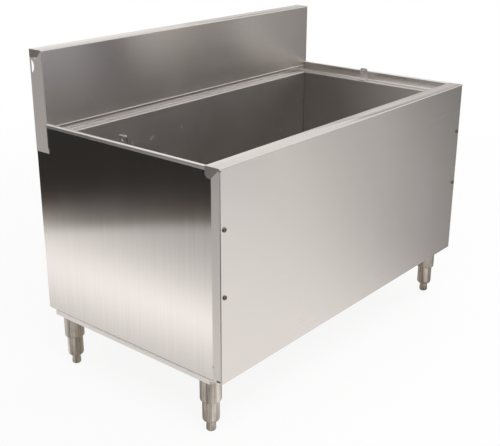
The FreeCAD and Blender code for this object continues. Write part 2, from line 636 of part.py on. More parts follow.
def make_backsplash():
    """Folded pan: face, top and end returns, with a tongue that closes each upper corner."""
    full = ("-half_width", "half_width")
    pieces = [
        plate("SplashFace", full, ("splash_front", "splash_front + sheet_thickness"), ("rim", "splash_top")),
        plate("SplashTop", full, ("splash_front", "rear"), ("splash_top - sheet_thickness", "splash_top")),
        plate("SplashLip", ("-panel_outer", "panel_outer"), ("rear - sheet_thickness", "rear"),
              ("splash_top - backsplash_lip_height", "splash_top")),
    ]
    lower = [plate("SplashSkirt", ("-panel_inner + panel_play", "panel_inner - panel_play"),
                   ("splash_front", "splash_front + sheet_thickness"),
                   ("rim - backsplash_skirt_height", "rim"))]
    tools = []
    for side, sign in SIDES:
        tag = "Splash" + side.capitalize()
        lower.append(side_outline(tag + "Lap", sign, (
            ("splash_front - lap_foot_width", "rim - backsplash_lap_height"),
            ("rear", "rim - backsplash_lap_height"),
            ("rear", "rim"),
            ("splash_front", "rim"),
            ("splash_front", "rim - backsplash_lap_height + lap_foot_height"),
            ("splash_front - lap_foot_width", "rim - backsplash_lap_height + lap_foot_height"),
        ), "panel_outer"))
        pieces.append(side_outline(tag + "Return", sign, (
            ("splash_front", "rim"),
            ("rear", "rim"),
            ("rear", "splash_top - tongue_rear_height - seam_gap"),
            ("rear - tongue_height + tongue_rear_height", "splash_top - tongue_height - seam_gap",
             "tongue_radius"),
            ("splash_front + tongue_height", "splash_top - tongue_height - seam_gap", "tongue_radius"),
            ("splash_front", "splash_top - seam_gap"),
        ), "panel_outer"))
        pieces.append(side_outline(tag + "Tongue", sign, (
            ("splash_front + seam_gap", "splash_top"),
            ("rear", "splash_top"),
            ("rear", "splash_top - tongue_rear_height"),
            ("rear - tongue_height + tongue_rear_height", "splash_top - tongue_height", "tongue_radius"),
            ("splash_front + tongue_height + seam_gap", "splash_top - tongue_height", "tongue_radius"),
        ), "panel_outer"))
        relief = ("splash_top - corner_relief_drop - corner_relief_width", "splash_top - corner_relief_drop")
        across = sheet_range(sign, "half_width - corner_relief_width", "half_width + corner_relief_width")
        inward = ("splash_front - corner_relief_width", "splash_front + corner_relief_width")
        tools.append(plate(tag + "Relief", across, inward, relief))
        start = "panel_outer - sheet_thickness" if sign == "1" else "-half_width - sheet_thickness"
        moon = doc.addObject("Part::Common", tag + "Slot")
        moon_centre = (start, "rear - slot_margin - slot_width + slot_radius", "splash_top - slot_drop")
        moon.Base = rod(tag + "SlotRound", "slot_radius", "through_sheet", moon_centre, (1, 0, 0))
        moon.Tool = plate(tag + "SlotChord", (start, f"{start} + through_sheet"),
                          ("rear - slot_margin - slot_width", "rear - slot_margin"),
                          ("splash_top - slot_drop - slot_height", "splash_top - slot_drop + slot_height"))
        tools.append(moon)
    pan = cut("SplashPan", fuse("SplashFolds", pieces), tools)
    doc.recompute()
    half, face, top = value("half_width"), value("splash_front"), value("splash_top")
    radius = value("bend_radius")
    upper = round_edges("SplashUpperBend", pan, radius, straight_edges(pan.Shape, "x", y=face, z=top))
    doc.recompute()
    below_relief = top - value("corner_relief_drop") - value("corner_relief_width") + TOLERANCE
    corners = [number for at in (-half, half)
               for number in straight_edges(upper.Shape, "z", x=at, y=face)
               if upper.Shape.Edges[number - 1].BoundBox.ZMax < below_relief]
    bent = round_edges("SplashCornerBends", upper, radius, corners)
    keep(fuse("Splash", [bent] + lower), "backsplash")


# Rim, ledges and tub


def make_rim_cap(side, sign):
    """Side rim: outer lip, flat top, inner wall and ledge in one folded strip."""
    section = (
        ("half_width - lip_taper_depth", "rim - rim_lip_height"),
        ("half_width", "rim - rim_lip_height + lip_taper_height"),
        ("half_width", "rim", "bend_radius"),
        ("rim_inner", "rim", "bend_radius"),
        ("rim_inner", "ledge_top", "bend_inner"),
        ("liner_side + fold_gap", "ledge_top"),
        ("liner_side + fold_gap", "ledge_under"),
        ("rim_inner + sheet_thickness", "ledge_under", "bend_radius"),
        ("rim_inner + sheet_thickness", "rim_under", "bend_inner"),
        ("panel_outer", "rim_under", "bend_inner"),
        ("panel_outer", "rim - rim_lip_height"),
    )
    outline = [(f"{sign} * ({corner[0]})",) + corner[1:] for corner in section]
    body = pad_outline("RimCap" + side.capitalize(), "XZ_Plane", outline, "splash_front - ledge_back", True)
    bind(body, y="ledge_back")
    keep(body, f"rim_cap_{side}")


def make_front_rail():
    """Folded rail behind the apron that carries the tub's front flange."""
    body = pad_outline("FrontRail", "YZ_Plane", (
        ("front + rail_setback", "ledge_top", "bend_radius"),
        ("ledge_back - fold_gap", "ledge_top"),
        ("ledge_back - fold_gap", "ledge_under"),
        ("front + rail_setback + sheet_thickness", "ledge_under", "bend_inner"),
        ("front + rail_setback + sheet_thickness", "ledge_top - rail_flange_height"),
        ("front + rail_setback", "ledge_top - rail_flange_height"),
    ), "2 * panel_inner")
    bind(body, x="-panel_inner")
    keep(body, "front_rail")


def make_rear_rail():
    """Rear ledge with a hemmed upstand in front of the backsplash's skirt."""
    across = ("-rim_inner + bend_radius", "rim_inner - bend_radius")
    rail = fuse("RearRail", [
        plate("RearLedge", ("-liner_side", "liner_side"), ("liner_back + fold_gap", "splash_front"),
              ("ledge_under", "ledge_top")),
        plate("RearUpstand", across, ("splash_front - sheet_thickness", "splash_front"),
              ("ledge_top", "upstand_top")),
        plate("RearHem", across, ("splash_front - 2 * sheet_thickness", "splash_front - sheet_thickness"),
              ("upstand_top - rear_hem_height", "upstand_top")),
    ])
    keep(rail, "rear_rail")


def make_tub_wrap():
    """Front wall, floor and rear wall of the tub in one folded sheet, with a hole for the drain."""
    body = pad_outline("TubWrapSheet", "YZ_Plane", (
        ("ledge_back - liner_flange_width", "ledge_top"),
        ("ledge_back - liner_flange_width", "liner_top"),
        ("ledge_back + liner_thickness", "liner_top", "bend_radius"),
        ("ledge_back + liner_thickness", "liner_floor", "liner_radius"),
        ("liner_back - liner_thickness", "liner_floor", "liner_radius"),
        ("liner_back - liner_thickness", "liner_top", "bend_radius"),
        ("liner_back + liner_flange_width", "liner_top"),
        ("liner_back + liner_flange_width", "ledge_top"),
        ("liner_back", "ledge_top", "bend_radius - liner_thickness"),
        ("liner_back", "liner_base", "liner_radius + liner_thickness"),
        ("ledge_back", "liner_base", "liner_radius + liner_thickness"),
        ("ledge_back", "ledge_top", "bend_radius - liner_thickness"),
    ), "2 * (liner_side - liner_thickness)")
    bind(body, x="liner_thickness - liner_side")
    hole = rod("TubDrainHole", "drain_throat_diameter / 2 + drain_play", "3 * liner_thickness",
               ("drain_x", "drain_y", "liner_base - liner_thickness"))
    keep(cut("TubWrap", body, [hole]), "tub_wrap")


def make_tub_end(side, sign):
    """End wall of the tub, welded to the wrap, with its flange round both corners."""
    tag = "TubEnd" + side.capitalize()
    section = (
        ("liner_side - liner_thickness", "liner_base"),
        ("liner_side", "liner_base"),
        ("liner_side", "ledge_top", "bend_radius - liner_thickness"),
        ("liner_side + liner_flange_width", "ledge_top"),
        ("liner_side + liner_flange_width", "liner_top"),
        ("liner_side - liner_thickness", "liner_top", "bend_radius"),
    )
    outline = [(f"{sign} * ({corner[0]})",) + corner[1:] for corner in section]
    wall = pad_outline(tag + "Wall", "XZ_Plane", outline, "liner_back - ledge_back", True)
    bind(wall, y="ledge_back")
    corner = sheet_range(sign, "liner_side - liner_thickness", "liner_side + liner_flange_width")
    level = ("ledge_top", "liner_top")
    pieces = [
        wall,
        plate(tag + "FrontCorner", corner, ("ledge_back - liner_flange_width", "ledge_back"), level),
        plate(tag + "RearCorner", corner, ("liner_back", "liner_back + liner_flange_width"), level),
    ]
    keep(fuse(tag, pieces), f"tub_end_{side}")


def make_insulation():
    """Foam boards between the tub and the cabinet, glued to the tub."""
    tall = ("cabinet_base", "board_top")
    long = ("-liner_side", "liner_side")
    deep = ("ledge_back", "liner_back")
    for side, sign in SIDES:
        across = sheet_range(sign, "liner_side", "liner_side + wall_board_thickness")
        keep(plate("Foam" + side.capitalize(), across, deep, tall), f"insulation_{side}")
    front_board = plate("FoamFront", long, ("ledge_back - wall_board_thickness", "ledge_back"), tall)
    keep(front_board, "insulation_front")
    rear_board = plate("FoamRear", long, ("liner_back", "liner_back + wall_board_thickness"), tall)
    keep(rear_board, "insulation_rear")
    floor = plate("FoamFloorBoard", long, deep, ("cabinet_base", "liner_base"))
    room = rod("FoamFloorHole", "drain_room_diameter / 2", "2 * floor_board_thickness",
               ("drain_x", "drain_y", "cabinet_base - floor_board_thickness / 2"))
    keep(cut("FoamFloor", floor, [room]), "insulation_floor")


def make_lock_tab(side, sign):
    """Upright eye tab with a foot on the tub's flange."""
    tag = "Tab" + side.capitalize()
    body = pad_outline(tag + "Plate", "YZ_Plane", (
        ("tab_middle - tab_width / 2", "liner_top"),
        ("tab_middle + tab_width / 2", "liner_top"),
        ("tab_middle + tab_width / 2", "tab_top", "tab_radius"),
        ("tab_middle - tab_width / 2", "tab_top", "tab_radius"),
    ), "tab_thickness")
    bind(body, x="tab_outer - tab_thickness" if sign == "1" else "-tab_outer")
    foot = plate(tag + "Foot", sheet_range(sign, "tab_outer - tab_foot_width", "tab_outer"),
                 ("tab_middle - tab_width / 2", "tab_middle + tab_width / 2"),
                 ("liner_top", "liner_top + tab_thickness"))
    start = "tab_outer - 2 * tab_thickness" if sign == "1" else "-tab_outer - tab_thickness"
    eye = rod(tag + "Eye", "tab_hole_diameter / 2", "3 * tab_thickness",
              (start, "tab_middle", "tab_top - tab_hole_drop"), (1, 0, 0))
    keep(cut(tag, fuse(tag + "Folds", [body, foot]), [eye]), f"lock_tab_{side}")


# Base and legs


def make_base_channel(side, sign):
    """Channel under one side, with a pointed tip at its front outer corner."""
    tag = "Channel" + side.capitalize()
    inner_bend = "channel_bend_radius - channel_thickness"
    section = (
        ("panel_outer", "web_top - channel_flange_height"),
        ("panel_outer", "web_top", "channel_bend_radius"),
        ("panel_outer - channel_width", "web_top", "channel_bend_radius"),
        ("panel_outer - channel_width", "web_top - channel_flange_height"),
        ("panel_outer - channel_width + channel_thickness", "web_top - channel_flange_height"),
        ("panel_outer - channel_width + channel_thickness", "web_under", inner_bend),
        ("panel_outer - channel_thickness", "web_under", inner_bend),
        ("panel_outer - channel_thickness", "web_top - channel_flange_height"),
    )
    outline = [(f"{sign} * ({corner[0]})",) + corner[1:] for corner in section]
    body = pad_outline(tag + "Strip", "XZ_Plane", outline, "channel_rear - channel_front", True)
    bind(body, y="channel_front")
    tip = pad_outline(tag + "Tip", "XZ_Plane", (
        ("-tip_width / 2", "web_under"),
        ("tip_width / 2", "web_under"),
        ("tip_width / 2", "web_under - tip_edge_height"),
        ("0", "web_under - tip_depth"),
        ("-tip_width / 2", "web_under - tip_edge_height"),
    ), "channel_thickness", True)
    tip.Placement = FreeCAD.Placement(Vector(), Rotation(Vector(0, 0, 1), 45.0 if sign == "1" else -45.0))
    bind(tip, x=f"{sign} * (panel_outer - channel_cutback_length / 2)",
         y="channel_front + channel_cutback_length / 2")
    edge = sheet_range(sign, "panel_outer - channel_bend_radius", "panel_outer + channel_bend_radius")
    tools = [plate(tag + "Cutback", edge,
                   ("channel_front - channel_thickness", "channel_front + channel_cutback_length"),
                   ("web_top - channel_flange_height - channel_thickness", "web_under"))]
    for index, (across, depth) in enumerate(bolt_places(sign)):
        tools.append(rod(f"{tag}BoltHole{index}", "bolt_hole", "2 * channel_thickness",
                         (across, depth, "web_under - channel_thickness / 2")))
    strip = cut(tag + "Cut", body, tools)
    keep(fuse(tag, [strip, tip]), f"base_channel_{side}")


def make_leg(corner, across, depth):
    """Clamping socket, tube and bullet foot of one leg; heights count from the floor."""
    tag = "".join(word.capitalize() for word in corner.split("_"))
    bore = "tube_diameter / 2 + socket_play"
    socket = turn_outline(tag + "SocketBody", (
        (bore, "socket_base"),
        ("socket_diameter / 2", "socket_base", "socket_edge_radius"),
        ("socket_diameter / 2", "web_under"),
        ("0", "web_under"),
        ("0", "web_under - socket_cap_thickness"),
        (bore, "web_under - socket_cap_thickness"),
    ))
    seam = doc.addObject("Part::Box", tag + "Seam")
    seam.Placement = FreeCAD.Placement(Vector(), Rotation(Vector(0, 0, 1), value("socket_seam_angle")))
    bind(seam, Length="socket_diameter", Width="socket_seam_width",
         Height="socket_length - socket_cap_thickness",
         x="socket_seam_width / 2 * sin(socket_seam_angle * 1 deg)",
         y="-socket_seam_width / 2 * cos(socket_seam_angle * 1 deg)", z="socket_base")
    screw_way = Rotation(Vector(0, 0, 1), value("set_screw_angle")).multVec(Vector(1, 0, 0))
    tapped = rod(tag + "Tapped", "set_screw_diameter / 2 + thread_play", "socket_diameter",
                 ("0", "0", "web_under - set_screw_drop"), tuple(screw_way))
    clamp = cut(tag + "Socket", socket, [seam, tapped])
    bind(clamp, x=across, y=depth)
    keep(clamp, f"leg_socket_{corner}")

    outer = "tube_diameter / 2"
    thread = "foot_stem_diameter / 2 + thread_play"
    tube = turn_outline(tag + "Tube", (
        (thread, "foot_exposed_length"),
        (outer, "foot_exposed_length", "tube_shoulder_radius"),
        (outer, "socket_base + tube_insert_length"),
        (f"{outer} - tube_wall_thickness", "socket_base + tube_insert_length"),
        (f"{outer} - tube_wall_thickness", "foot_exposed_length + tube_plug_length"),
        (thread, "foot_exposed_length + tube_plug_length"),
    ))
    bind(tube, x=across, y=depth)
    keep(tube, f"leg_tube_{corner}")

    foot = turn_outline(tag + "Foot", (
        ("0", "0"),
        ("foot_diameter / 2", "0", "foot_edge_radius"),
        ("foot_diameter / 2", "foot_belly_height"),
        ("foot_neck_diameter / 2", "foot_exposed_length"),
        ("foot_stem_diameter / 2", "foot_exposed_length"),
        ("foot_stem_diameter / 2", "foot_exposed_length + foot_stem_length"),
        ("0", "foot_exposed_length + foot_stem_length"),
    ))
    bind(foot, x=across, y=depth)
    keep(foot, f"bullet_foot_{corner}")

    reach = "tube_diameter / 2"
    return rod(tag + "SetScrew", "set_screw_diameter / 2",
               "(socket_diameter - tube_diameter) / 2 - set_screw_sink_depth",
               (f"{across} + {reach} * cos(set_screw_angle * 1 deg)",
                f"{depth} + {reach} * sin(set_screw_angle * 1 deg)",
                "web_under - set_screw_drop"), tuple(screw_way))


# Fasteners


def make_apron_fasteners():
    """Pan-head screws through the apron and the clip nuts behind the side panels' flanges."""
    screws = []
    nuts = []
    for index, (across, height) in enumerate(apron_screw_places()):
        screw = turn_outline(f"ApronScrew{index}", (
            ("0", "screw_socket_depth - screw_head_height"),
            ("screw_socket_diameter / 2", "screw_socket_depth - screw_head_height"),
            ("screw_socket_diameter / 2", "-screw_head_height"),
            ("screw_head_diameter / 2", "-screw_head_height", "screw_head_radius"),
            ("screw_head_diameter / 2", "0"),
            ("screw_diameter / 2", "0"),
            ("screw_diameter / 2", "screw_length"),
            ("0", "screw_length"),
        ), (0, 1, 0))
        bind(screw, x=across, y="front", z=height)
        screws.append(screw)
        block = plate(f"ClipBlock{index}", (f"{across} - clip_width / 2", f"{across} + clip_width / 2"),
                      ("front + 2 * sheet_thickness", "front + 2 * sheet_thickness + clip_depth"),
                      (f"{height} - clip_height / 2", f"{height} + clip_height / 2"))
        hole = rod(f"ClipHole{index}", "screw_diameter / 2 + thread_play", "screw_length",
                   (across, "front", height), (0, 1, 0))
        nuts.append(cut(f"ClipNut{index}", block, [hole]))
    keep(group("ApronScrews", screws), "apron_screws")
    keep(group("ApronClipNuts", nuts), "apron_clip_nuts")


def make_rivets():
    """Rivets that hold the back panel to the side panels' rear flanges."""
    rivets = []
    for index, (across, height) in enumerate(rivet_places()):
        rivet = turn_outline(f"Rivet{index}", (
            ("0", "-rivet_tail_height"),
            ("rivet_tail_diameter / 2", "-rivet_tail_height"),
            ("rivet_tail_diameter / 2", "0"),
            ("rivet_diameter / 2", "0"),
            ("rivet_diameter / 2", "2 * sheet_thickness"),
            ("rivet_head_diameter / 2", "2 * sheet_thickness"),
            ("rivet_head_diameter / 2", "2 * sheet_thickness + rivet_head_height", "rivet_head_radius"),
            ("0", "2 * sheet_thickness + rivet_head_height"),
        ), (0, 1, 0))
        bind(rivet, x=across, y="back_inner - sheet_thickness", z=height)
        rivets.append(rivet)
    keep(group("Rivets", rivets), "back_panel_rivets")


def make_base_fasteners():
    """Bolts that hold the base channels, the bottom panel and the side panels together."""
    bolts = []
    nuts = []
    for side, sign in SIDES:
        for index, (across, depth) in enumerate(bolt_places(sign)):
            tag = f"{side.capitalize()}{index}"
            head = hexagon("BoltHead" + tag, "base_bolt_flats_width", "base_bolt_head_height",
                           (across, depth, "web_under - base_bolt_head_height"))
            shank = rod("BoltShank" + tag, "base_bolt_diameter / 2",
                        "cabinet_base + sheet_thickness + base_bolt_end_length - web_under",
                        (across, depth, "web_under"))
            bolts.append(fuse("BaseBolt" + tag, [head, shank]))
            block = hexagon("NutBlock" + tag, "base_bolt_flats_width", "base_nut_height",
                            (across, depth, "cabinet_base + sheet_thickness"))
            hole = rod("NutHole" + tag, "base_bolt_diameter / 2 + thread_play", "2 * base_nut_height",
                       (across, depth, "cabinet_base + sheet_thickness - base_nut_height / 2"))
            nuts.append(cut("BaseNut" + tag, block, [hole]))
    keep(group("BaseBolts", bolts), "base_bolts")
    keep(group("BaseNuts", nuts), "base_nuts")


# Drain and overflow


def turned_on_drain(name, label, outline):
    """A turned piece on the drain's axis."""
    body = turn_outline(name, outline)
    bind(body, x="drain_x", y="drain_y")
    return keep(body, label)


def make_drain():
    """Flanged drain in the tub's floor, clamped from below, with its tailpiece."""
    throat = "drain_throat_diameter / 2"
    turned_on_drain("DrainBody", "drain_body", (
        ("drain_bore_diameter / 2", "drain_top"),
        ("drain_flange_diameter / 2", "drain_top", "drain_flange_radius"),
        ("drain_flange_diameter / 2", "liner_floor"),
        (throat, "liner_floor"),
        (throat, "drain_end"),
        ("drain_bore_diameter / 2", "drain_end"),
    ))
    turned_on_drain("DrainGasket", "drain_gasket", (
        (f"{throat} + drain_play", "liner_base - gasket_height"),
        ("gasket_diameter / 2", "liner_base - gasket_height"),
        ("gasket_diameter / 2", "liner_base"),
        (f"{throat} + drain_play", "liner_base"),
    ))
    block = hexagon("LocknutBlock", "locknut_flats_width", "locknut_height",
                    ("drain_x", "drain_y", "liner_base - gasket_height - locknut_height"))
    hole = rod("LocknutHole", f"{throat} + thread_play", "2 * locknut_height",
               ("drain_x", "drain_y", "liner_base - gasket_height - 1.5 * locknut_height"))
    keep(cut("DrainLocknut", block, [hole]), "drain_locknut")
    turned_on_drain("DrainTail", "drain_tailpiece", (
        ("tail_diameter / 2 - tail_wall_thickness", "drain_end"),
        (throat, "drain_end"),
        (throat, "drain_end - tail_lip_height"),
        ("tail_diameter / 2 - tail_neck_depth", "drain_end - tail_lip_height"),
        ("tail_diameter / 2 - tail_neck_depth", "drain_end - tail_neck_length"),
        ("tail_diameter / 2", "drain_end - tail_neck_length"),
        ("tail_diameter / 2", "drain_end - tail_length"),
        ("tail_diameter / 2 - tail_wall_thickness", "drain_end - tail_length"),
    ))
    nut_base = "drain_end - tail_lip_height - coupling_floor_thickness"
    turned_on_drain("DrainCoupling", "drain_coupling_nut", (
        (f"{throat} + thread_play", "drain_end + coupling_grip_length"),
        ("coupling_diameter / 2", "drain_end + coupling_grip_length", "coupling_radius"),
        ("coupling_diameter / 2", nut_base, "coupling_radius"),
        ("tail_diameter / 2 + screw_play", nut_base),
        ("tail_diameter / 2 + screw_play", "drain_end - tail_lip_height"),
        (f"{throat} + thread_play", "drain_end - tail_lip_height"),
    ))


def make_standpipe():
    """Lift-out overflow pipe whose plug stands in the drain, and its seal."""
    bore = "pipe_diameter / 2 - pipe_wall_thickness"
    plug = "drain_bore_diameter / 2 - pipe_plug_play"
    turned_on_drain("Standpipe", "overflow_standpipe", (
        (bore, "collar_base - pipe_plug_length"),
        (plug, "collar_base - pipe_plug_length"),
        (plug, "collar_base"),
        ("pipe_collar_diameter / 2", "collar_base"),
        ("pipe_collar_diameter / 2", "collar_base + pipe_collar_height", "pipe_collar_radius"),
        ("pipe_diameter / 2", "collar_base + pipe_collar_height"),
        ("pipe_diameter / 2", "ledge_top - pipe_ledge_drop"),
        (bore, "ledge_top - pipe_ledge_drop"),
    ))
    turned_on_drain("StandpipeSeal", "standpipe_seal", (
        ("drain_bore_diameter / 2", "drain_top"),
        ("pipe_collar_diameter / 2", "drain_top"),
        ("pipe_collar_diameter / 2", "collar_base"),
        ("drain_bore_diameter / 2", "collar_base"),
    ))


# Build and write


def check_document():
    """Stops if any object failed or any sub-part has no sound solid."""
    for thing in doc.Objects:
        bad = [state for state in thing.State if state in ("Invalid", "Error")]
        if bad:
            raise RuntimeError(f"{thing.Name} is {bad}")
    for thing in sub_parts:
        if thing.Shape.isNull() or not thing.Shape.isValid() or not thing.Shape.Solids:
            raise RuntimeError(f"{thing.Label} has no sound solid")


def write_sub_parts():
    """Writes each sub-part to its own file and prints its solids and its box."""
    os.makedirs("parts", exist_ok=True)
    for thing in sub_parts:
        thing.Shape.exportStep(f"parts/{thing.Label}.step")
        box = thing.Shape.BoundBox
        print(f"{thing.Label}: {len(thing.Shape.Solids)} solid, {thing.Shape.Volume / 1000:.1f} cm3, "
              f"x {box.XMin:.1f} {box.XMax:.1f} y {box.YMin:.1f} {box.YMax:.1f} "
              f"z {box.ZMin:.1f} {box.ZMax:.1f}")


sizes_sheet, places_sheet = fill_sheets()
make_front_apron()
make_backsplash()
make_back_panel()
make_bottom_panel()
make_front_rail()
make_rear_rail()
make_tub_wrap()
make_insulation()
for side_name, side_sign in SIDES:
    make_side_panel(side_name, side_sign)
    make_rim_cap(side_name, side_sign)
    make_tub_end(side_name, side_sign)
    make_lock_tab(side_name, side_sign)
    make_base_channel(side_name, side_sign)
set_screws = [make_leg(*corner) for corner in CORNERS]
keep(group("LegSetScrews", set_screws), "leg_set_screws")
make_apron_fasteners()
make_rivets()
make_base_fasteners()
make_drain()
make_standpipe()
doc.recompute()
check_document()
write_sub_parts()
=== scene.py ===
"""Underbar beer bath: brushed steel finishes, welds and threads, a pale studio stage and the camera."""
import json
import math

import bmesh
import bpy
from bpy.props import FloatProperty, FloatVectorProperty, PointerProperty
from bpy.types import Operator, Panel, PropertyGroup
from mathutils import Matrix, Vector


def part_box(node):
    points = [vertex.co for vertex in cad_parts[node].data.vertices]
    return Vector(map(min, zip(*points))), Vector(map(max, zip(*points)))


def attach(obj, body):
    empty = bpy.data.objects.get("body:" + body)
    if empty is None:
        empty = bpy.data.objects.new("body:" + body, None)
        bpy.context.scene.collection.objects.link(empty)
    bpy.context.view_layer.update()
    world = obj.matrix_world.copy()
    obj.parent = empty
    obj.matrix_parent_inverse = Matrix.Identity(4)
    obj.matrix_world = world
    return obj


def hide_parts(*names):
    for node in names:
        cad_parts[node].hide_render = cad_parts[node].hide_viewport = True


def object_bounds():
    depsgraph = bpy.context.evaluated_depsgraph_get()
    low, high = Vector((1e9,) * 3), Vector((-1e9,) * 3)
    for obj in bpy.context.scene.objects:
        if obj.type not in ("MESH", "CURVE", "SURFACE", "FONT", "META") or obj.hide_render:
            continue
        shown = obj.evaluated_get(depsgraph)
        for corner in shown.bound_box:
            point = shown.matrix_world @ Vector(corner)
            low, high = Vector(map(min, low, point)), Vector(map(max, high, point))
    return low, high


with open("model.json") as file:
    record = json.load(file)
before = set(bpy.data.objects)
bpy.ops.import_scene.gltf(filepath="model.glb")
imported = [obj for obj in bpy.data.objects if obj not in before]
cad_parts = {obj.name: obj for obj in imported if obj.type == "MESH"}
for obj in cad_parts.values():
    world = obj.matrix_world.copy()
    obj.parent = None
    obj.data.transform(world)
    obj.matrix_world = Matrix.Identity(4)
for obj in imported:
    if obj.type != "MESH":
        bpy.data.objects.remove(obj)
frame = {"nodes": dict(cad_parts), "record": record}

bl_info = {
    "name": "Underbar beer bath",
    "version": (1, 0, 0),
    "blender": (4, 5, 0),
    "location": "3D View > Sidebar > Beer bath",
    "description": "Finishes, small made details, stage and camera of an underbar beer bath",
    "category": "Object",
}

CAD_BOX = [list(corner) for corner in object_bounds()]
PHOTO_WIDTH = 500
PHOTO_HEIGHT = 446
SIDES = ("left", "right")
SIDE_SIGNS = (-1.0, 1.0)
CORNERS = ("front_left", "front_right", "rear_left", "rear_right")
ACROSS, DEPTH, UP = 0, 1, 2
ACROSS_AXIS = Vector((1.0, 0.0, 0.0))
UP_AXIS = Vector((0.0, 0.0, 1.0))
QUARTER_TURN = math.pi / 2.0
FULL_TURN = 2.0 * math.pi
WHITE = (1.0, 1.0, 1.0)

# Folded sheet: its gauge, its end tabs below a mitre, and the backsplash's lap in front of its face

SHEET_THICKNESS = 0.0012
APRON_TAB_HEIGHT = 0.0275
SPLASH_TONGUE_HEIGHT = 0.0204
LAP_FOOT = 0.003


def splash_front():
    """Depth of the backsplash's front face."""
    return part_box("backsplash")[0][DEPTH] + LAP_FOOT


# Sizes and colours that a user would change


def colour(name, description, default):
    """A colour property."""
    return FloatVectorProperty(name=name, description=description, default=default,
                               subtype="COLOR", size=3, min=0.0, max=1.0)


def share(name, description, default):
    """A property between none and all."""
    return FloatProperty(name=name, description=description, default=default,
                         subtype="FACTOR", min=0.0, max=1.0)


class BathFinish(PropertyGroup):
    """Colours and gloss of the bath's surfaces."""

    cabinet_colour: colour("Cabinet steel", "Brushed sheet of the cabinet", (0.80, 0.745, 0.705))
    cabinet_roughness: share("Cabinet roughness", "Gloss of the brushed sheet", 0.25)
    cabinet_stretch: share("Brushed stretch", "How far brushing draws out a reflection", 1.0)
    splash_roughness: share("Backsplash roughness", "Gloss along the backsplash's grain", 0.235)
    rail_colour: colour("Rail steel", "Folded rims and rails", (0.83, 0.795, 0.765))
    rail_roughness: share("Rail roughness", "Gloss of the rims and rails", 0.29)
    # Darker than the cabinet steel: painted shade inside the tub
    tub_shaded_colour: colour("Tub steel", "Dull sheet of the tub", (0.655, 0.625, 0.60))
    tub_roughness: share("Tub roughness", "Gloss along the tub's grain", 0.235)
    tub_end_roughness: share("Tub end roughness", "Gloss along the grain of the tub's ends", 0.30)
    # Warm and dark: partly the plating's colour, partly painted reflection of dark surroundings
    leg_tint_and_reflection: colour("Leg metal", "Plated legs and sockets", (0.64, 0.57, 0.50))
    screw_colour: colour("Screws", "Darkened screws", (0.26, 0.19, 0.125))
    bolt_colour: colour("Bolts and rivets", "Plain zinc fasteners", (0.60, 0.60, 0.58))
    weld_colour: colour("Welds", "Laid weld", (0.66, 0.63, 0.60))
    # Tub corner welds, tinted dark: painted shade in the tub's inner corners
    seam_shade_colour: colour("Tub seams", "Dull weld in the tub's corners", (0.26, 0.25, 0.24))
    drain_colour: colour("Drain", "Chromed drain and overflow", (0.78, 0.77, 0.75))
    foam_colour: colour("Foam board", "Insulation", (0.80, 0.72, 0.50))
    rubber_colour: colour("Rubber", "Seals", (0.025, 0.025, 0.027))


class BathStage(PropertyGroup):
    """Floor, light and camera."""

    floor_colour: colour("Floor", "Pale floor", (0.90, 0.90, 0.90))
    floor_glow: share("Floor white", "Share of plain white in what is seen of the floor", 0.88)
    sky_level: FloatProperty(name="Sky", description="Light from all round", default=0.55, min=0.0)
    key_power: FloatProperty(name="Key light", description="Large soft lamp above the left front",
                             default=90.0, min=0.0, unit="POWER")
    fill_power: FloatProperty(name="Fill light", description="Large soft lamp above the right",
                              default=45.0, min=0.0, unit="POWER")
    eye: FloatVectorProperty(name="Eye", description="Camera's place", default=(-1.8245, -1.4469, 1.2112),
                             subtype="TRANSLATION", unit="LENGTH", size=3)
    heading: FloatProperty(name="Heading", description="Camera's direction, from +X",
                           default=math.radians(40.25), subtype="ANGLE")
    dip: FloatProperty(name="Dip", description="Camera's tilt below the horizon",
                       default=math.radians(20.11), subtype="ANGLE")
    focal_pixels: FloatProperty(name="Focal length", description="In pixels of the picture",
                                default=885.4, subtype="PIXEL")
    axis_pixel: FloatVectorProperty(name="Optical axis", description="Where the axis meets the picture",
                                    default=(239.2, 208.0), size=2)


class BathSettings(PropertyGroup):
    """Everything that can be set."""

    finish: PointerProperty(type=BathFinish)
    stage: PointerProperty(type=BathStage)


# Shader expressions

CLOUD_MIDDLE = 0.5
DRAWN_ROUGHNESS = 0.6
MIX_FACTOR, MIX_LOW, MIX_HIGH, MIX_COLOUR = 0, 6, 7, 2


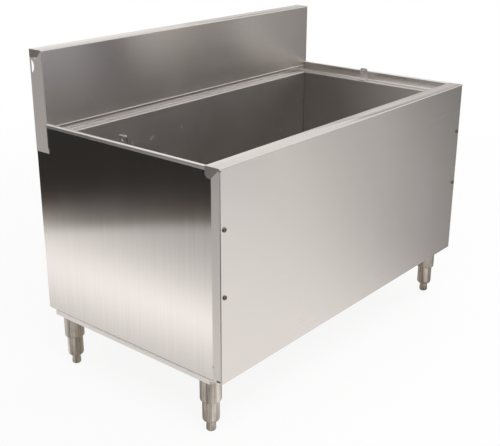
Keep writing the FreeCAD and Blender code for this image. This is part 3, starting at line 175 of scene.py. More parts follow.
class Wire:
    """An output in a node tree; arithmetic on it adds Math nodes."""

    def __init__(self, tree, socket=None):
        self.tree = tree
        self.socket = socket

    def node(self, kind, settings=None, sockets=None, output=0):
        """Adds any node: its settings first, then the values or links of its sockets."""
        made = self.tree.nodes.new(kind)
        for name, setting in (settings or {}).items():
            if name == "stops":
                set_stops(made.color_ramp.elements, setting)
            else:
                setattr(made, name, setting)
        for key, given in (sockets or {}).items():
            if isinstance(given, Wire):
                self.tree.links.new(given.socket, made.inputs[key])
            else:
                made.inputs[key].default_value = given
        return Wire(self.tree, made.outputs[output] if made.outputs else None)

    def math(self, operation, first, second=0.0, clamp=False):
        """A Math node on two values."""
        return self.node("ShaderNodeMath", {"operation": operation, "use_clamp": clamp},
                         {0: first, 1: second})

    def __add__(self, other):
        return self.math("ADD", self, other)

    def __radd__(self, other):
        return self.math("ADD", other, self)

    def __sub__(self, other):
        return self.math("SUBTRACT", self, other)

    def __rsub__(self, other):
        return self.math("SUBTRACT", other, self)

    def __mul__(self, other):
        return self.math("MULTIPLY", self, other)

    def __rmul__(self, other):
        return self.math("MULTIPLY", other, self)

    def __truediv__(self, other):
        return self.math("DIVIDE", self, other)

    def __rtruediv__(self, other):
        return self.math("DIVIDE", other, self)

    def __neg__(self):
        return self.math("MULTIPLY", self, -1.0)

    def clamped(self):
        """The value held between 0 and 1."""
        return self.math("ADD", self, 0.0, clamp=True)

    def absolute(self):
        """The value without its sign."""
        return self.math("ABSOLUTE", self)

    def swing(self, by):
        """Cloudy values moved about zero and stretched."""
        return (self - CLOUD_MIDDLE) * by

    def ramp(self, low, high):
        """0 at low, 1 at high and a smooth rise between."""
        return self.node("ShaderNodeMapRange", {"interpolation_type": "SMOOTHSTEP"},
                         {"Value": self, "From Min": low, "From Max": high})

    def fall(self, low, high):
        """1 at low, 0 at high and a smooth fall between."""
        return 1.0 - self.ramp(low, high)


def set_stops(elements, stops):
    """Gives a ramp its greys: (place, level) pairs."""
    while len(elements) < len(stops):
        elements.new(1.0)
    for element, (place, level) in zip(elements, stops):
        element.position = place
        element.color = (level, level, level, 1.0)


def grey_bands(place, stops):
    """Greys that change along a line from 0 to 1."""
    return place.node("ShaderNodeValToRGB", {"stops": stops}, {0: place})


def mixed(factor, low, high):
    """A colour between two colours."""
    return factor.node("ShaderNodeMix", {"data_type": "RGBA"},
                       {MIX_FACTOR: factor, MIX_LOW: opaque(low), MIX_HIGH: opaque(high)}, MIX_COLOUR)


def opaque(tint):
    """A plain colour with its alpha, or a wire as it is."""
    return tint if isinstance(tint, Wire) else (*tint[:3], 1.0)


def dimmed(tint, level):
    """A plain colour at another brightness."""
    return tuple(channel * level for channel in tint[:3])


def toned(tint, tone, dark, light):
    """A tint between a darker and a lighter level of itself, by a tone from 0 to 1."""
    return mixed(tone, dimmed(tint, dark), dimmed(tint, light))


def axis_of(place, axis):
    """One coordinate of a vector."""
    return place.node("ShaderNodeSeparateXYZ", sockets={0: place}, output=axis)


def scaled(place, scales):
    """A vector stretched along each axis."""
    return place.node("ShaderNodeVectorMath", {"operation": "MULTIPLY"}, {0: place, 1: scales})


def noise(place, scale, detail=2.0, roughness=0.5):
    """Cloudy values round one half."""
    return place.node("ShaderNodeTexNoise", {}, {"Vector": place, "Scale": scale, "Detail": detail,
                                                 "Roughness": roughness})


def drawn_noise(place, along, fine, length):
    """Cloudy values drawn out along one axis: scales in marks for each metre."""
    scales = [fine, fine, fine]
    scales[along] = length
    return noise(scaled(place, scales), scale=1.0, roughness=DRAWN_ROUGHNESS)


def relief(height, distance, strength=1.0, over=None):
    """A normal from a height between 0 and 1 that stands for a distance in metres, over another normal."""
    sockets = {"Height": height, "Distance": distance, "Strength": strength}
    if over is not None:
        sockets["Normal"] = over
    return height.node("ShaderNodeBump", {}, sockets)


def new_finish(name):
    """An empty material, and the point on its surface in metres."""
    material = bpy.data.materials.new(name)
    material.use_nodes = True
    material.node_tree.nodes.clear()
    return material, Wire(material.node_tree).node("ShaderNodeTexCoord", output="Object")


def principled(place, sockets):
    """The principled shader with its sockets set."""
    return place.node("ShaderNodeBsdfPrincipled", {}, sockets)


def bare_metal(place, base_colour, roughness, normal, brushing=None):
    """The principled shader as bare metal, with the sockets of its brushing."""
    sockets = {"Base Color": base_colour, "Metallic": 1.0, "Roughness": roughness, "Normal": normal}
    return principled(place, {**sockets, **(brushing or {})})


def layered(share_shown, under, over):
    """Two shaders, the second over the first by a share."""
    return share_shown.node("ShaderNodeMixShader", {}, {0: share_shown, 1: under, 2: over})


def close_finish(material, shader):
    """Puts a shader on a material."""
    shader.node("ShaderNodeOutputMaterial", {}, {"Surface": shader})
    return material


# Finishes

FINE_BRUSH = 1400.0
COARSE_BRUSH = 300.0
BRUSH_LENGTH = 3.0
BRUSH_DEPTH = 0.000006
BRUSH_STRENGTH = 0.5
BRUSH_GLOSS = 0.10
SMUDGE_SCALE = 5.0
SMUDGE_DETAIL = 4.0
SMUDGE_CONTRAST = 0.30
SMUDGE_GLOSS = 0.06
STAIN_SCALE = 32.0
STAIN_DETAIL = 5.0
STAIN_ROUGHNESS = 0.65
STAIN_EDGE = (0.56, 0.70)
STAIN_DULLING = 0.3
SHEET_WAVE_SCALE = 2.2
SHEET_WAVE = 0.0016
SHEET_DARK = 0.90
SHEET_LIGHT = 1.08
UPRIGHT_CONTRAST = 1.3
LEVEL_CONTRAST = 0.9
UPRIGHT_COARSE_SHARE = 0.55
LEVEL_COARSE_SHARE = 0.35
LEVEL_TURN = 0.25
MITRE_SOFTNESS = 0.0004
END_TAB_SHARE = 0.6
END_TAB_ROUGHNESS = 0.185
# End tabs' tint level: dims the tabs below the mitre as painted shade
END_TAB_PAINTED_SHADE = 0.9


def turned_marks(place, facing_along, along, other, fine):
    """Brush marks along one axis that turn to another axis on the faces that end the first."""
    straight = drawn_noise(place, along, fine, BRUSH_LENGTH)
    turned = drawn_noise(place, other, fine, BRUSH_LENGTH)
    return straight + (turned - straight) * facing_along


def sheet_shader(place, tint, roughness, along, stretch, stained=0.0, end_dulling=0.0):
    """Sheet brushed along one axis; on faces that end that axis the marks run on round the bend."""
    upright = along == UP
    contrast = UPRIGHT_CONTRAST if upright else LEVEL_CONTRAST
    coarse_share = UPRIGHT_COARSE_SHARE if upright else LEVEL_COARSE_SHARE
    other = DEPTH if along != DEPTH else ACROSS
    normal = place.node("ShaderNodeNewGeometry", output="Normal")
    facing_along = axis_of(normal, along).absolute()
    fine = turned_marks(place, facing_along, along, other, FINE_BRUSH)
    coarse = turned_marks(place, facing_along, along, other, COARSE_BRUSH)
    marks = fine * (1.0 - coarse_share) + coarse * coarse_share
    smudge = noise(place, SMUDGE_SCALE, SMUDGE_DETAIL)
    stain = noise(place, STAIN_SCALE, STAIN_DETAIL, STAIN_ROUGHNESS).ramp(*STAIN_EDGE) * stained
    tone = CLOUD_MIDDLE + marks.swing(contrast) + smudge.swing(SMUDGE_CONTRAST) - stain
    gloss = roughness + marks.swing(BRUSH_GLOSS) + smudge.swing(SMUDGE_GLOSS)
    wavy = relief(noise(place, SHEET_WAVE_SCALE, detail=1.0), SHEET_WAVE)
    return bare_metal(
        place,
        toned(tint, tone.clamped(), SHEET_DARK, SHEET_LIGHT),
        gloss + stain * STAIN_DULLING + facing_along * end_dulling,
        relief(marks, BRUSH_DEPTH, BRUSH_STRENGTH, over=wavy),
        {"Anisotropic": stretch, "Anisotropic Rotation": 0.0 if upright else LEVEL_TURN},
    )


def brushed_steel(name, tint, roughness, along, stretch, stained=0.0):
    """Sheet brushed one way all over."""
    material, place = new_finish(name)
    return close_finish(material, sheet_shader(place, tint, roughness, along, stretch, stained))


def mitred_steel(name, tint, roughness, stretch, end_dulling, fold_front, fold_top, tab_height):
    """Level-brushed sheet whose end tabs, folded down from its top past a mitre, are brushed upright."""
    material, place = new_finish(name)
    height = axis_of(place, UP)
    half_width = CAD_BOX[1][ACROSS]
    past_mitre = axis_of(place, DEPTH) - fold_front + height - fold_top
    tab_foot = fold_top - tab_height
    outward = axis_of(place, ACROSS).absolute()
    in_tab = (past_mitre.ramp(-MITRE_SOFTNESS, MITRE_SOFTNESS)
              * height.ramp(tab_foot - MITRE_SOFTNESS, tab_foot + MITRE_SOFTNESS)
              * outward.ramp(half_width - 2.0 * SHEET_THICKNESS, half_width - SHEET_THICKNESS))
    level = sheet_shader(place, tint, roughness, ACROSS, stretch, end_dulling=end_dulling)
    # The upright end tabs get a dimmed tint: painted shade
    upright = sheet_shader(place, dimmed(tint, END_TAB_PAINTED_SHADE), END_TAB_ROUGHNESS, UP, stretch)
    return close_finish(material, layered(in_tab * END_TAB_SHARE, level, upright))


def satin_steel(name, tint, roughness):
    """Lock tabs: finely brushed upright, with no stretched reflections."""
    material, place = new_finish(name)
    marks = drawn_noise(place, UP, FINE_BRUSH, BRUSH_LENGTH)
    smudge = noise(place, scale=14.0, detail=4.0)
    tone = CLOUD_MIDDLE + marks.swing(by=0.4) + smudge.swing(by=0.3)
    return close_finish(material, bare_metal(
        place,
        toned(tint, tone.clamped(), dark=0.86, light=1.08),
        roughness + marks.swing(by=0.08) + smudge.swing(by=0.06),
        relief(noise(place, scale=3.0, detail=1.0), distance=0.0004),
    ))


def drawn_tube(name, tint, roughness):
    """Leg metal with upright drawing lines, a little wear, and dark upright streaks that are painted
    reflection.
    """
    material, place = new_finish(name)
    lines = drawn_noise(place, UP, fine=620.0, length=9.0)
    reflection_streaks = drawn_noise(place, UP, fine=150.0, length=5.0)
    wear = noise(place, scale=70.0, detail=4.0, roughness=0.6)
    # The wide streaks swing the tone far: painted reflection of the room on the round tubes
    tone = CLOUD_MIDDLE + lines.swing(by=1.1) + reflection_streaks.swing(by=2.2) + wear.swing(by=0.5)
    return close_finish(material, bare_metal(
        place,
        toned(tint, tone.clamped(), dark=0.48, light=1.26),
        roughness + lines.swing(by=0.12) + wear.swing(by=0.10),
        relief(lines, distance=0.00003, strength=0.5),
    ))


def turned_metal(name, tint, roughness, round_scale, ring_scale):
    """Metal turned about an upright axis: fine rings and a little wear."""
    material, place = new_finish(name)
    rings = noise(scaled(place, (round_scale, round_scale, ring_scale)), scale=1.0)
    wear = noise(place, scale=60.0, detail=4.0, roughness=0.6)
    tone = CLOUD_MIDDLE + rings.swing(by=0.6) + wear.swing(by=0.7)
    return close_finish(material, bare_metal(
        place,
        toned(tint, tone.clamped(), dark=0.78, light=1.15),
        roughness + rings.swing(by=0.14) + wear.swing(by=0.12),
        relief(rings, distance=0.00003, strength=0.6),
    ))


WELD_ROUGHNESS = 0.30
WELD_WARMTH = (1.05, 0.90, 0.74)


def weld_metal(name, tint):
    """Laid weld, ground a little and tinted by its heat."""
    material, place = new_finish(name)
    heat = noise(place, scale=90.0, detail=3.0)
    grain = noise(place, scale=900.0, detail=3.0)
    warm = [channel * warmth for channel, warmth in zip(tint, WELD_WARMTH)]
    return close_finish(material, bare_metal(
        place,
        mixed(heat.ramp(low=0.4, high=0.65), tint, warm),
        WELD_ROUGHNESS + grain.swing(by=0.2),
        relief(grain, distance=0.00005, strength=0.5),
    ))


def fastener_metal(name, tint, roughness):
    """Small plated fasteners with handling marks."""
    material, place = new_finish(name)
    wear = noise(place, scale=420.0, detail=3.0)
    return close_finish(material, bare_metal(
        place,
        toned(tint, wear.ramp(low=0.35, high=0.65), dark=0.75, light=1.2),
        roughness + wear.swing(by=0.2),
        relief(wear, distance=0.00004, strength=0.5),
    ))


FOAM_CELLS = 700.0
FOAM_CELL_SHARE = 0.4
FOAM_ROUGHNESS = 0.85
RUBBER_ROUGHNESS = 0.62


def foam_board(name, tint):
    """Cut rigid foam with its cells."""
    material, place = new_finish(name)
    cells = place.node("ShaderNodeTexVoronoi", {"feature": "F1"}, {"Vector": place, "Scale": FOAM_CELLS})
    cloud = noise(place, scale=18.0, detail=3.0)
    tone = cells * FOAM_CELL_SHARE + cloud * (1.0 - FOAM_CELL_SHARE)
    return close_finish(material, principled(place, {
        "Base Color": toned(tint, tone.clamped(), dark=0.78, light=1.08),
        "Roughness": FOAM_ROUGHNESS + cloud.swing(by=0.1),
        "Normal": relief(cells, distance=0.0003, strength=0.6),
    }))


def rubber(name, tint):
    """Moulded black rubber."""
    material, place = new_finish(name)
    bloom = noise(place, scale=130.0, detail=4.0)
    return close_finish(material, principled(place, {
        "Base Color": toned(tint, bloom.ramp(low=0.4, high=0.7), dark=0.8, light=1.9),
        "Roughness": RUBBER_ROUGHNESS + bloom.swing(by=0.2),
        "Normal": relief(bloom, distance=0.00008, strength=0.4),
    }))


def dress(names, material):
    """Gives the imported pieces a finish."""
    for name in names:
        for holder in frame["nodes"][name].material_slots:
            holder.material = material


def with_sides(*stems):
    """Names of pieces that come left and right."""
    return [f"{stem}_{side}" for stem in stems for side in SIDES]


def with_corners(*stems):
    """Names of pieces that stand at the four corners."""
    return [f"{stem}_{corner}" for stem in stems for corner in CORNERS]


# Small made details

SHARP_ANGLE = math.radians(38.0)
BEAD_SIDES = 8
BEAD_STEP = 0.001
RIPPLE_STEPS = 3
RIPPLE_DEPTH = 0.14
BEAD_END = 0.45


def smooth_mesh(name, vertices, faces):
    """A closed mesh, smooth but for its sharp edges."""
    mesh = bpy.data.meshes.new(name)
    mesh.from_pydata(vertices, [], faces)
    shape = bmesh.new()
    shape.from_mesh(mesh)
    bmesh.ops.recalc_face_normals(shape, faces=shape.faces)
    shape.to_mesh(mesh)
    shape.free()
    mesh.shade_smooth()
    mesh.set_sharp_from_angle(angle=SHARP_ANGLE)
    return mesh


def new_piece(name, mesh, body, material):
    """A made piece that rides on a body."""
    piece = bpy.data.objects.new(name, mesh)
    bpy.context.scene.collection.objects.link(piece)
    mesh.materials.append(material)
    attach(piece, body)
    return piece


def walked(corners):
    """Points a bead's step apart along straight runs."""
    points = []
    for start, end in zip(corners, corners[1:]):
        count = max(1, round((end - start).length / BEAD_STEP))
        points += [start.lerp(end, index / count) for index in range(count)]
    return [*points, corners[-1]]


def skin(ring_count, sides, closed, first=0):
    """Faces that join rings of vertices, with flat ends unless the rings close on themselves."""
    faces = []
    for ring in range(ring_count if closed else ring_count - 1):
        here = first + ring * sides
        there = first + (ring + 1) % ring_count * sides
        for turn in range(sides):
            beside = (turn + 1) % sides
            faces.append((here + turn, here + beside, there + beside, there + turn))
    if not closed:
        last = first + (ring_count - 1) * sides
        faces.append(tuple(range(first, first + sides)))
        faces.append(tuple(range(last, last + sides)))
    return faces


def bead_mesh(name, paths, radius, square_to, closed=False):
    """Rippled weld beads along paths that lie square to a direction."""
    vertices = []
    faces = []
    for points in paths:
        count = len(points)
        faces += skin(count, BEAD_SIDES, closed, len(vertices))
        for index, point in enumerate(points):
            before = points[index - 1] if closed or index else point
            after = points[(index + 1) % count] if closed or index < count - 1 else point
            outward = (after - before).normalized().cross(square_to)
            at_end = not closed and index in (0, count - 1)
            ripple = 1.0 + RIPPLE_DEPTH * math.cos(FULL_TURN * index / RIPPLE_STEPS)
            swell = radius * (BEAD_END if at_end else ripple)
            for turn in range(BEAD_SIDES):
                angle = FULL_TURN * turn / BEAD_SIDES
                vertices.append(point + swell * (math.cos(angle) * square_to + math.sin(angle) * outward))
    return smooth_mesh(name, vertices, faces)


def lay_bead(name, paths, radius, square_to, material, closed=False):
    """A weld on the cabinet."""
    new_piece(name, bead_mesh(name, paths, radius, square_to, closed), "cabinet", material)


FOOT_SIDES = 40
FOOT_EXPOSED = 0.026
FOOT_BELLY = 0.010
FOOT_NECK_RADIUS = 0.01075
FOOT_EDGE_RADIUS = 0.005
FOOT_EDGE_STEPS = 6
THREAD_RADIUS = 0.00795
THREAD_DEPTH = 0.0011
THREAD_PITCH = 0.002
THREAD_STEPS = 8
STEM_CHAMFER = 0.0015


def threaded_foot(node):
    """Bullet foot with a rounded end and a real screw thread on its stem."""
    low, high = (Vector(corner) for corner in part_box(node))
    axis = (low + high) / 2.0
    belly_radius = (high.x - low.x) / 2.0
    rings = []
    for step in range(FOOT_EDGE_STEPS + 1):
        angle = QUARTER_TURN * step / FOOT_EDGE_STEPS
        rings.append((low.z + FOOT_EDGE_RADIUS * (1.0 - math.cos(angle)),
                      belly_radius - FOOT_EDGE_RADIUS * (1.0 - math.sin(angle)), 0.0))
    stem_foot = low.z + FOOT_EXPOSED
    rings.append((low.z + FOOT_BELLY, belly_radius, 0.0))
    rings.append((stem_foot, FOOT_NECK_RADIUS, 0.0))
    rings.append((stem_foot, THREAD_RADIUS - THREAD_DEPTH, 0.0))
    threaded = high.z - STEM_CHAMFER - stem_foot
    count = round(threaded / THREAD_PITCH * THREAD_STEPS)
    for step in range(1, count + 1):
        rings.append((stem_foot + threaded * step / count, THREAD_RADIUS, THREAD_DEPTH))
    rings.append((high.z, THREAD_RADIUS - STEM_CHAMFER, 0.0))
    vertices = []
    for height, radius, depth in rings:
        for turn in range(FOOT_SIDES):
            angle = FULL_TURN * turn / FOOT_SIDES
            wound = (height / THREAD_PITCH - turn / FOOT_SIDES) % 1.0
            reach = radius - depth * abs(2.0 * wound - 1.0)
            vertices.append((axis.x + reach * math.cos(angle), axis.y + reach * math.sin(angle), height))
    return smooth_mesh(f"threaded_{node}", vertices, skin(len(rings), FOOT_SIDES, False))


HEM_FOLD_SIDES = 16


def hem_fold():
    """Rounded fold along the top of the rear rail's hem."""
    low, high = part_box("rear_rail")
    depth = high[DEPTH] - SHEET_THICKNESS
    vertices = []
    for across in (low[ACROSS], high[ACROSS]):
        for turn in range(HEM_FOLD_SIDES):
            angle = FULL_TURN * turn / HEM_FOLD_SIDES
            vertices.append((across, depth + SHEET_THICKNESS * math.cos(angle),
                             high[UP] + SHEET_THICKNESS * math.sin(angle)))
    return smooth_mesh("rear_hem_fold", vertices, skin(2, HEM_FOLD_SIDES, False))


SEAM_RADIUS = 0.0014
TAB_WELD_RADIUS = 0.0012
SOCKET_WELD_RADIUS = 0.0016
SOCKET_WELD_STEPS = 162
OPENING_CLEARANCE = 0.002
TUB_CORNER_RADIUS = 0.012
TUB_CORNER_STEPS = 12
FLANGE_BEND = 0.003
FLANGE_WELD = (0.005, 0.017)
MITRE_WELD_RADIUS = 0.0014
MITRE_WELD_INSET = 0.0018
RELIEF_WELD_RADIUS = 0.0019
RELIEF_WELD_INSET = 0.0022
RELIEF_WELD_DROPS = (0.0030, 0.0090)


def tub_faces():
    """The tub's inner right, front and rear faces, its floor and its flange, in metres."""
    openings = frame["record"]["physics"]["openings"]
    low, high = next(entry["box_m"] for entry in openings if entry["name"] == "tub")
    wrap_low, wrap_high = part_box("tub_wrap")
    right = high[ACROSS] + OPENING_CLEARANCE
    front = low[DEPTH] - OPENING_CLEARANCE
    rear = high[DEPTH] + OPENING_CLEARANCE
    return right, front, rear, wrap_low[UP] + SHEET_THICKNESS, wrap_high[UP]


def tub_seam(across, front, rear, floor, top):
    """Points of the seam between the tub's wrap and one end: down, along the floor and up."""
    radius = TUB_CORNER_RADIUS
    corners = [Vector((across, front, top - FLANGE_BEND))]
    for centre, start in ((front + radius, 2.0 * QUARTER_TURN), (rear - radius, 3.0 * QUARTER_TURN)):
        for step in range(TUB_CORNER_STEPS + 1):
            angle = start + QUARTER_TURN * step / TUB_CORNER_STEPS
            corners.append(Vector((across, centre + radius * math.cos(angle),
                                   floor + radius + radius * math.sin(angle))))
    corners.append(Vector((across, rear, top - FLANGE_BEND)))
    return walked(corners)


def flange_seam(across, rear, top):
    """Points of the short seam across the tub's rear flange."""
    return walked([Vector((across, rear + reach, top)) for reach in FLANGE_WELD])


def tab_seams(side):
    """Points of the two short seams that hold a lock tab's foot."""
    low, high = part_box(f"lock_tab_{side}")
    inner, outer = sorted((low[ACROSS], high[ACROSS]), key=abs)
    inward = math.copysign(FLANGE_BEND, outer)
    ends = (outer - inward / 2.0, inner + inward)
    return [walked([Vector((end, depth, low[UP])) for end in ends]) for depth in (low[DEPTH], high[DEPTH])]


def splash_mitre(sign):
    """Points of the seam along the mitre at one end of the backsplash."""
    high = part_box("backsplash")[1]
    across = sign * (high[ACROSS] - MITRE_WELD_INSET)
    steps = (MITRE_WELD_INSET, SPLASH_TONGUE_HEIGHT)
    return walked([Vector((across, splash_front() + step, high[UP] - step)) for step in steps])


def splash_relief(sign):
    """Points of the short seam that fills the relief under one front corner of the backsplash."""
    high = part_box("backsplash")[1]
    across = sign * (high[ACROSS] - RELIEF_WELD_INSET)
    depth = splash_front() + RELIEF_WELD_INSET
    return walked([Vector((across, depth, high[UP] - drop)) for drop in RELIEF_WELD_DROPS])


def socket_ring(corner):
    """Points of the seam round the top of a leg socket."""
    low, high = (Vector(place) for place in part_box(f"leg_socket_{corner}"))
    axis = (low + high) / 2.0
    radius = (high.x - low.x) / 2.0
    turns = [FULL_TURN * step / SOCKET_WELD_STEPS for step in range(SOCKET_WELD_STEPS)]
    return [Vector((axis.x + radius * math.cos(turn), axis.y + radius * math.sin(turn), high.z))
            for turn in turns]


# Operators

APRON_END_DULLING = 0.08
SPLASH_END_DULLING = 0.20
# Backsplash tint level: dims the cabinet tint as painted shade on the backsplash
SPLASH_PAINTED_SHADE = 0.90
UPRIGHT_POLISH = 0.74
RAIL_STRETCH = 0.6
RAIL_POLISH = 0.7

# The lock tabs, left and right: roughness, and tint levels that dim the left tab as painted shade
LOCK_TAB_ROUGHNESS = (0.06, 0.60)
LOCK_TAB_SHADE_LEVELS = (0.60, 1.0)

TUB_STAINS = 0.12
LEG_ROUGHNESS = 0.33
SCREW_ROUGHNESS = 0.42
BOLT_ROUGHNESS = 0.36
DRAIN_ROUGHNESS = 0.16
DRAIN_ROUND_SCALE = 14.0
DRAIN_RING_SCALE = 700.0


class BATH_OT_cabinet(Operator):
    """Brushes the cabinet's sheets: the fronts level, the sides upright"""

    bl_idname = "beer_bath.cabinet"
    bl_label = "Cabinet finish"

    def execute(self, context):
        finish = context.scene.beer_bath.finish
        tint = finish.cabinet_colour
        rough = finish.cabinet_roughness
        stretch = finish.cabinet_stretch
        apron_low, apron_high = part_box("front_apron")
        splash_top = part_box("backsplash")[1][UP]
        apron = mitred_steel("apron_brushed_steel", tint, rough, stretch, APRON_END_DULLING,
                             apron_low[DEPTH], apron_high[UP], APRON_TAB_HEIGHT)
        # The backsplash gets the cabinet tint dimmed: painted shade
        splash = mitred_steel("splash_brushed_steel", dimmed(tint, SPLASH_PAINTED_SHADE), finish.splash_roughness,
                              stretch, SPLASH_END_DULLING, splash_front(), splash_top, SPLASH_TONGUE_HEIGHT)
        level = brushed_steel("level_brushed_steel", tint, rough, ACROSS, stretch)
        upright = brushed_steel("upright_brushed_steel", tint, rough * UPRIGHT_POLISH, UP, stretch)
        lengthwise = brushed_steel("lengthwise_rail_steel", finish.rail_colour, finish.rail_roughness,
                                   DEPTH, RAIL_STRETCH)
        crosswise = brushed_steel("crosswise_rail_steel", finish.rail_colour,
                                  finish.rail_roughness * RAIL_POLISH, ACROSS, RAIL_STRETCH)
        dress(["front_apron"], apron)
        dress(["backsplash"], splash)
        dress(["back_panel", "bottom_panel"], level)
        dress(with_sides("side_panel"), upright)
        dress(with_sides("rim_cap", "base_channel"), lengthwise)
        # The left tab's tint is dimmed by its level: painted shade
        for side, roughness, shade_level in zip(SIDES, LOCK_TAB_ROUGHNESS, LOCK_TAB_SHADE_LEVELS):
            shaded_tab_tint = dimmed(finish.rail_colour, shade_level)
            dress([f"lock_tab_{side}"], satin_steel(f"tab_{side}_satin_steel", shaded_tab_tint, roughness))
        dress(["front_rail", "rear_rail"], crosswise)
        new_piece("rear_hem_fold", hem_fold(), "cabinet", crosswise)
        return {"FINISHED"}


class BATH_OT_tub(Operator):
    """Gives the tub its brushed sheet, in a darker tint that paints the shade inside the tub"""

    bl_idname = "beer_bath.tub"
    bl_label = "Tub finish"

    def execute(self, context):
        finish = context.scene.beer_bath.finish
        wrap = brushed_steel("tub_wrap_steel", finish.tub_shaded_colour, finish.tub_roughness, ACROSS,
                             finish.cabinet_stretch, TUB_STAINS)
        ends = brushed_steel("tub_end_steel", finish.tub_shaded_colour, finish.tub_end_roughness, DEPTH,
                             finish.cabinet_stretch, TUB_STAINS)
        dress(["tub_wrap"], wrap)
        dress(with_sides("tub_end"), ends)
        return {"FINISHED"}


class BATH_OT_legs(Operator):
    """Gives the sockets and tubes their plated metal and puts in threaded feet"""

    bl_idname = "beer_bath.legs"
    bl_label = "Leg finish"

    def execute(self, context):
        tint = context.scene.beer_bath.finish.leg_tint_and_reflection
        metal = drawn_tube("drawn_leg_metal", tint, LEG_ROUGHNESS)
        dress(with_corners("leg_socket", "leg_tube"), metal)
        for corner in CORNERS:
            foot = new_piece(f"threaded_foot_{corner}", threaded_foot(f"bullet_foot_{corner}"),
                             f"foot_{corner}", metal)
            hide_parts(f"bullet_foot_{corner}")
        return {"FINISHED"}


class BATH_OT_welds(Operator):
    """Lays the welds of the tub's corners, the backsplash, the lock tabs and the leg sockets"""

    bl_idname = "beer_bath.welds"
    bl_label = "Welds"

    def execute(self, context):
        finish = context.scene.beer_bath.finish
        metal = weld_metal("laid_weld", finish.weld_colour)
        # The tub's corner seams get a dark weld tint: painted shade in the corners
        shaded_seam = weld_metal("tub_seam_weld", finish.seam_shade_colour)
        right, front, rear, floor, top = tub_faces()
        for side, sign in zip(SIDES, SIDE_SIGNS):
            lay_bead(f"tub_seam_{side}", [tub_seam(sign * right, front, rear, floor, top)],
                     SEAM_RADIUS, ACROSS_AXIS, shaded_seam)
            lay_bead(f"flange_weld_{side}", [flange_seam(sign * right, rear, top)],
                     SEAM_RADIUS, UP_AXIS, metal)
            lay_bead(f"splash_weld_{side}", [splash_mitre(sign)],
                     MITRE_WELD_RADIUS, ACROSS_AXIS, metal)
            lay_bead(f"splash_corner_weld_{side}", [splash_relief(sign)],
                     RELIEF_WELD_RADIUS, ACROSS_AXIS, metal)
            lay_bead(f"lock_tab_weld_{side}", tab_seams(side),
                     TAB_WELD_RADIUS, UP_AXIS, metal)
        for corner in CORNERS:
            lay_bead(f"socket_weld_{corner}", [socket_ring(corner)],
                     SOCKET_WELD_RADIUS, UP_AXIS, metal, closed=True)
        return {"FINISHED"}


class BATH_OT_fasteners(Operator):
    """Gives the screws, bolts, nuts and rivets their metals"""

    bl_idname = "beer_bath.fasteners"
    bl_label = "Fastener finishes"

    def execute(self, context):
        finish = context.scene.beer_bath.finish
        dark = fastener_metal("darkened_screw_metal", finish.screw_colour, SCREW_ROUGHNESS)
        zinc = fastener_metal("zinc_fastener_metal", finish.bolt_colour, BOLT_ROUGHNESS)
        dress(["apron_screws", "leg_set_screws"], dark)
        dress(["apron_clip_nuts", "back_panel_rivets", "base_bolts", "base_nuts"], zinc)
        return {"FINISHED"}


class BATH_OT_drain(Operator):
    """Gives the drain, its overflow and its seals their finishes"""

    bl_idname = "beer_bath.drain"
    bl_label = "Drain finish"

    def execute(self, context):
        finish = context.scene.beer_bath.finish
        chrome = turned_metal("drain_chrome", finish.drain_colour, DRAIN_ROUGHNESS, DRAIN_ROUND_SCALE,
                              DRAIN_RING_SCALE)
        black = rubber("black_rubber", finish.rubber_colour)
        dress(["drain_body", "drain_locknut", "drain_tailpiece", "drain_coupling_nut",
               "overflow_standpipe"], chrome)
        dress(["drain_gasket", "standpipe_seal"], black)
        return {"FINISHED"}


class BATH_OT_insulation(Operator):
    """Gives the foam boards their cut cells"""

    bl_idname = "beer_bath.insulation"
    bl_label = "Insulation finish"

    def execute(self, context):
        board = foam_board("cut_foam", context.scene.beer_bath.finish.foam_colour)
        dress([f"insulation_{place}" for place in (*SIDES, "front", "rear", "floor")], board)
        return {"FINISHED"}


# Stage

FLOOR_REACH = 30.0
FLOOR_CLEARING = (0.9, 3.0)
ROOM_REACH = 9.0
CARD_HEIGHT = 0.001
DARK_TINT = (0.0225, 0.0215, 0.0205)
DUSK_TINT = (0.078, 0.067, 0.052)
SHADE_TINT = (0.26, 0.24, 0.215)
FRONT_COOL_TINT = (0.06, 0.10, 0.18)


def seen_directly(wire):
    """1 for what the camera sees straight, by reflection or through glass."""
    path = wire.node("ShaderNodeLightPath")
    rays = [Wire(wire.tree, path.socket.node.outputs[name])
            for name in ("Is Camera Ray", "Is Glossy Ray", "Is Transmission Ray")]
    return (rays[0] + rays[1] + rays[2]).clamped()


def stage_sheet(name, corners, material):
    """A flat four-cornered sheet of the stage."""
    mesh = bpy.data.meshes.new(name)
    mesh.from_pydata(corners, [], [(0, 1, 2, 3)])
    mesh.materials.append(material)
    sheet = bpy.data.objects.new(name, mesh)
    bpy.context.scene.collection.objects.link(sheet)
    return sheet


def level_square(reach, height):
    """Corners of a level square round the middle."""
    ways = ((-1.0, -1.0), (1.0, -1.0), (1.0, 1.0), (-1.0, 1.0))
    return [(across * reach, depth * reach, height) for across, depth in ways]


def make_floor(stage):
    """Pale floor that reads as white and keeps the bath's shadow."""
    material, place = new_finish("pale_floor")
    matt = place.node("ShaderNodeBsdfDiffuse", {}, {"Color": opaque(stage.floor_colour)})
    glow = place.node("ShaderNodeEmission", {}, {"Color": opaque(WHITE), "Strength": 1.0})
    away = place.node("ShaderNodeVectorMath", {"operation": "LENGTH"}, {0: place}, "Value")
    white_share = stage.floor_glow + away.ramp(*FLOOR_CLEARING) * (1.0 - stage.floor_glow)
    close_finish(material, layered(seen_directly(place) * white_share, matt, glow))
    stage_sheet("floor", level_square(FLOOR_REACH, 0.0), material)


def only_in_metal(card):
    """Lets a card show in reflections and nowhere else."""
    for kind in ("camera", "diffuse", "transmission", "volume_scatter", "shadow"):
        setattr(card, "visible_" + kind, False)


def card_shader(share_shown, tint, level=1.0):
    """A glowing card that shows by a share and is clear elsewhere."""
    clear = share_shown.node("ShaderNodeBsdfTransparent")
    glow = share_shown.node("ShaderNodeEmission", {}, {"Color": opaque(tint), "Strength": level})
    return layered(share_shown, clear, glow)
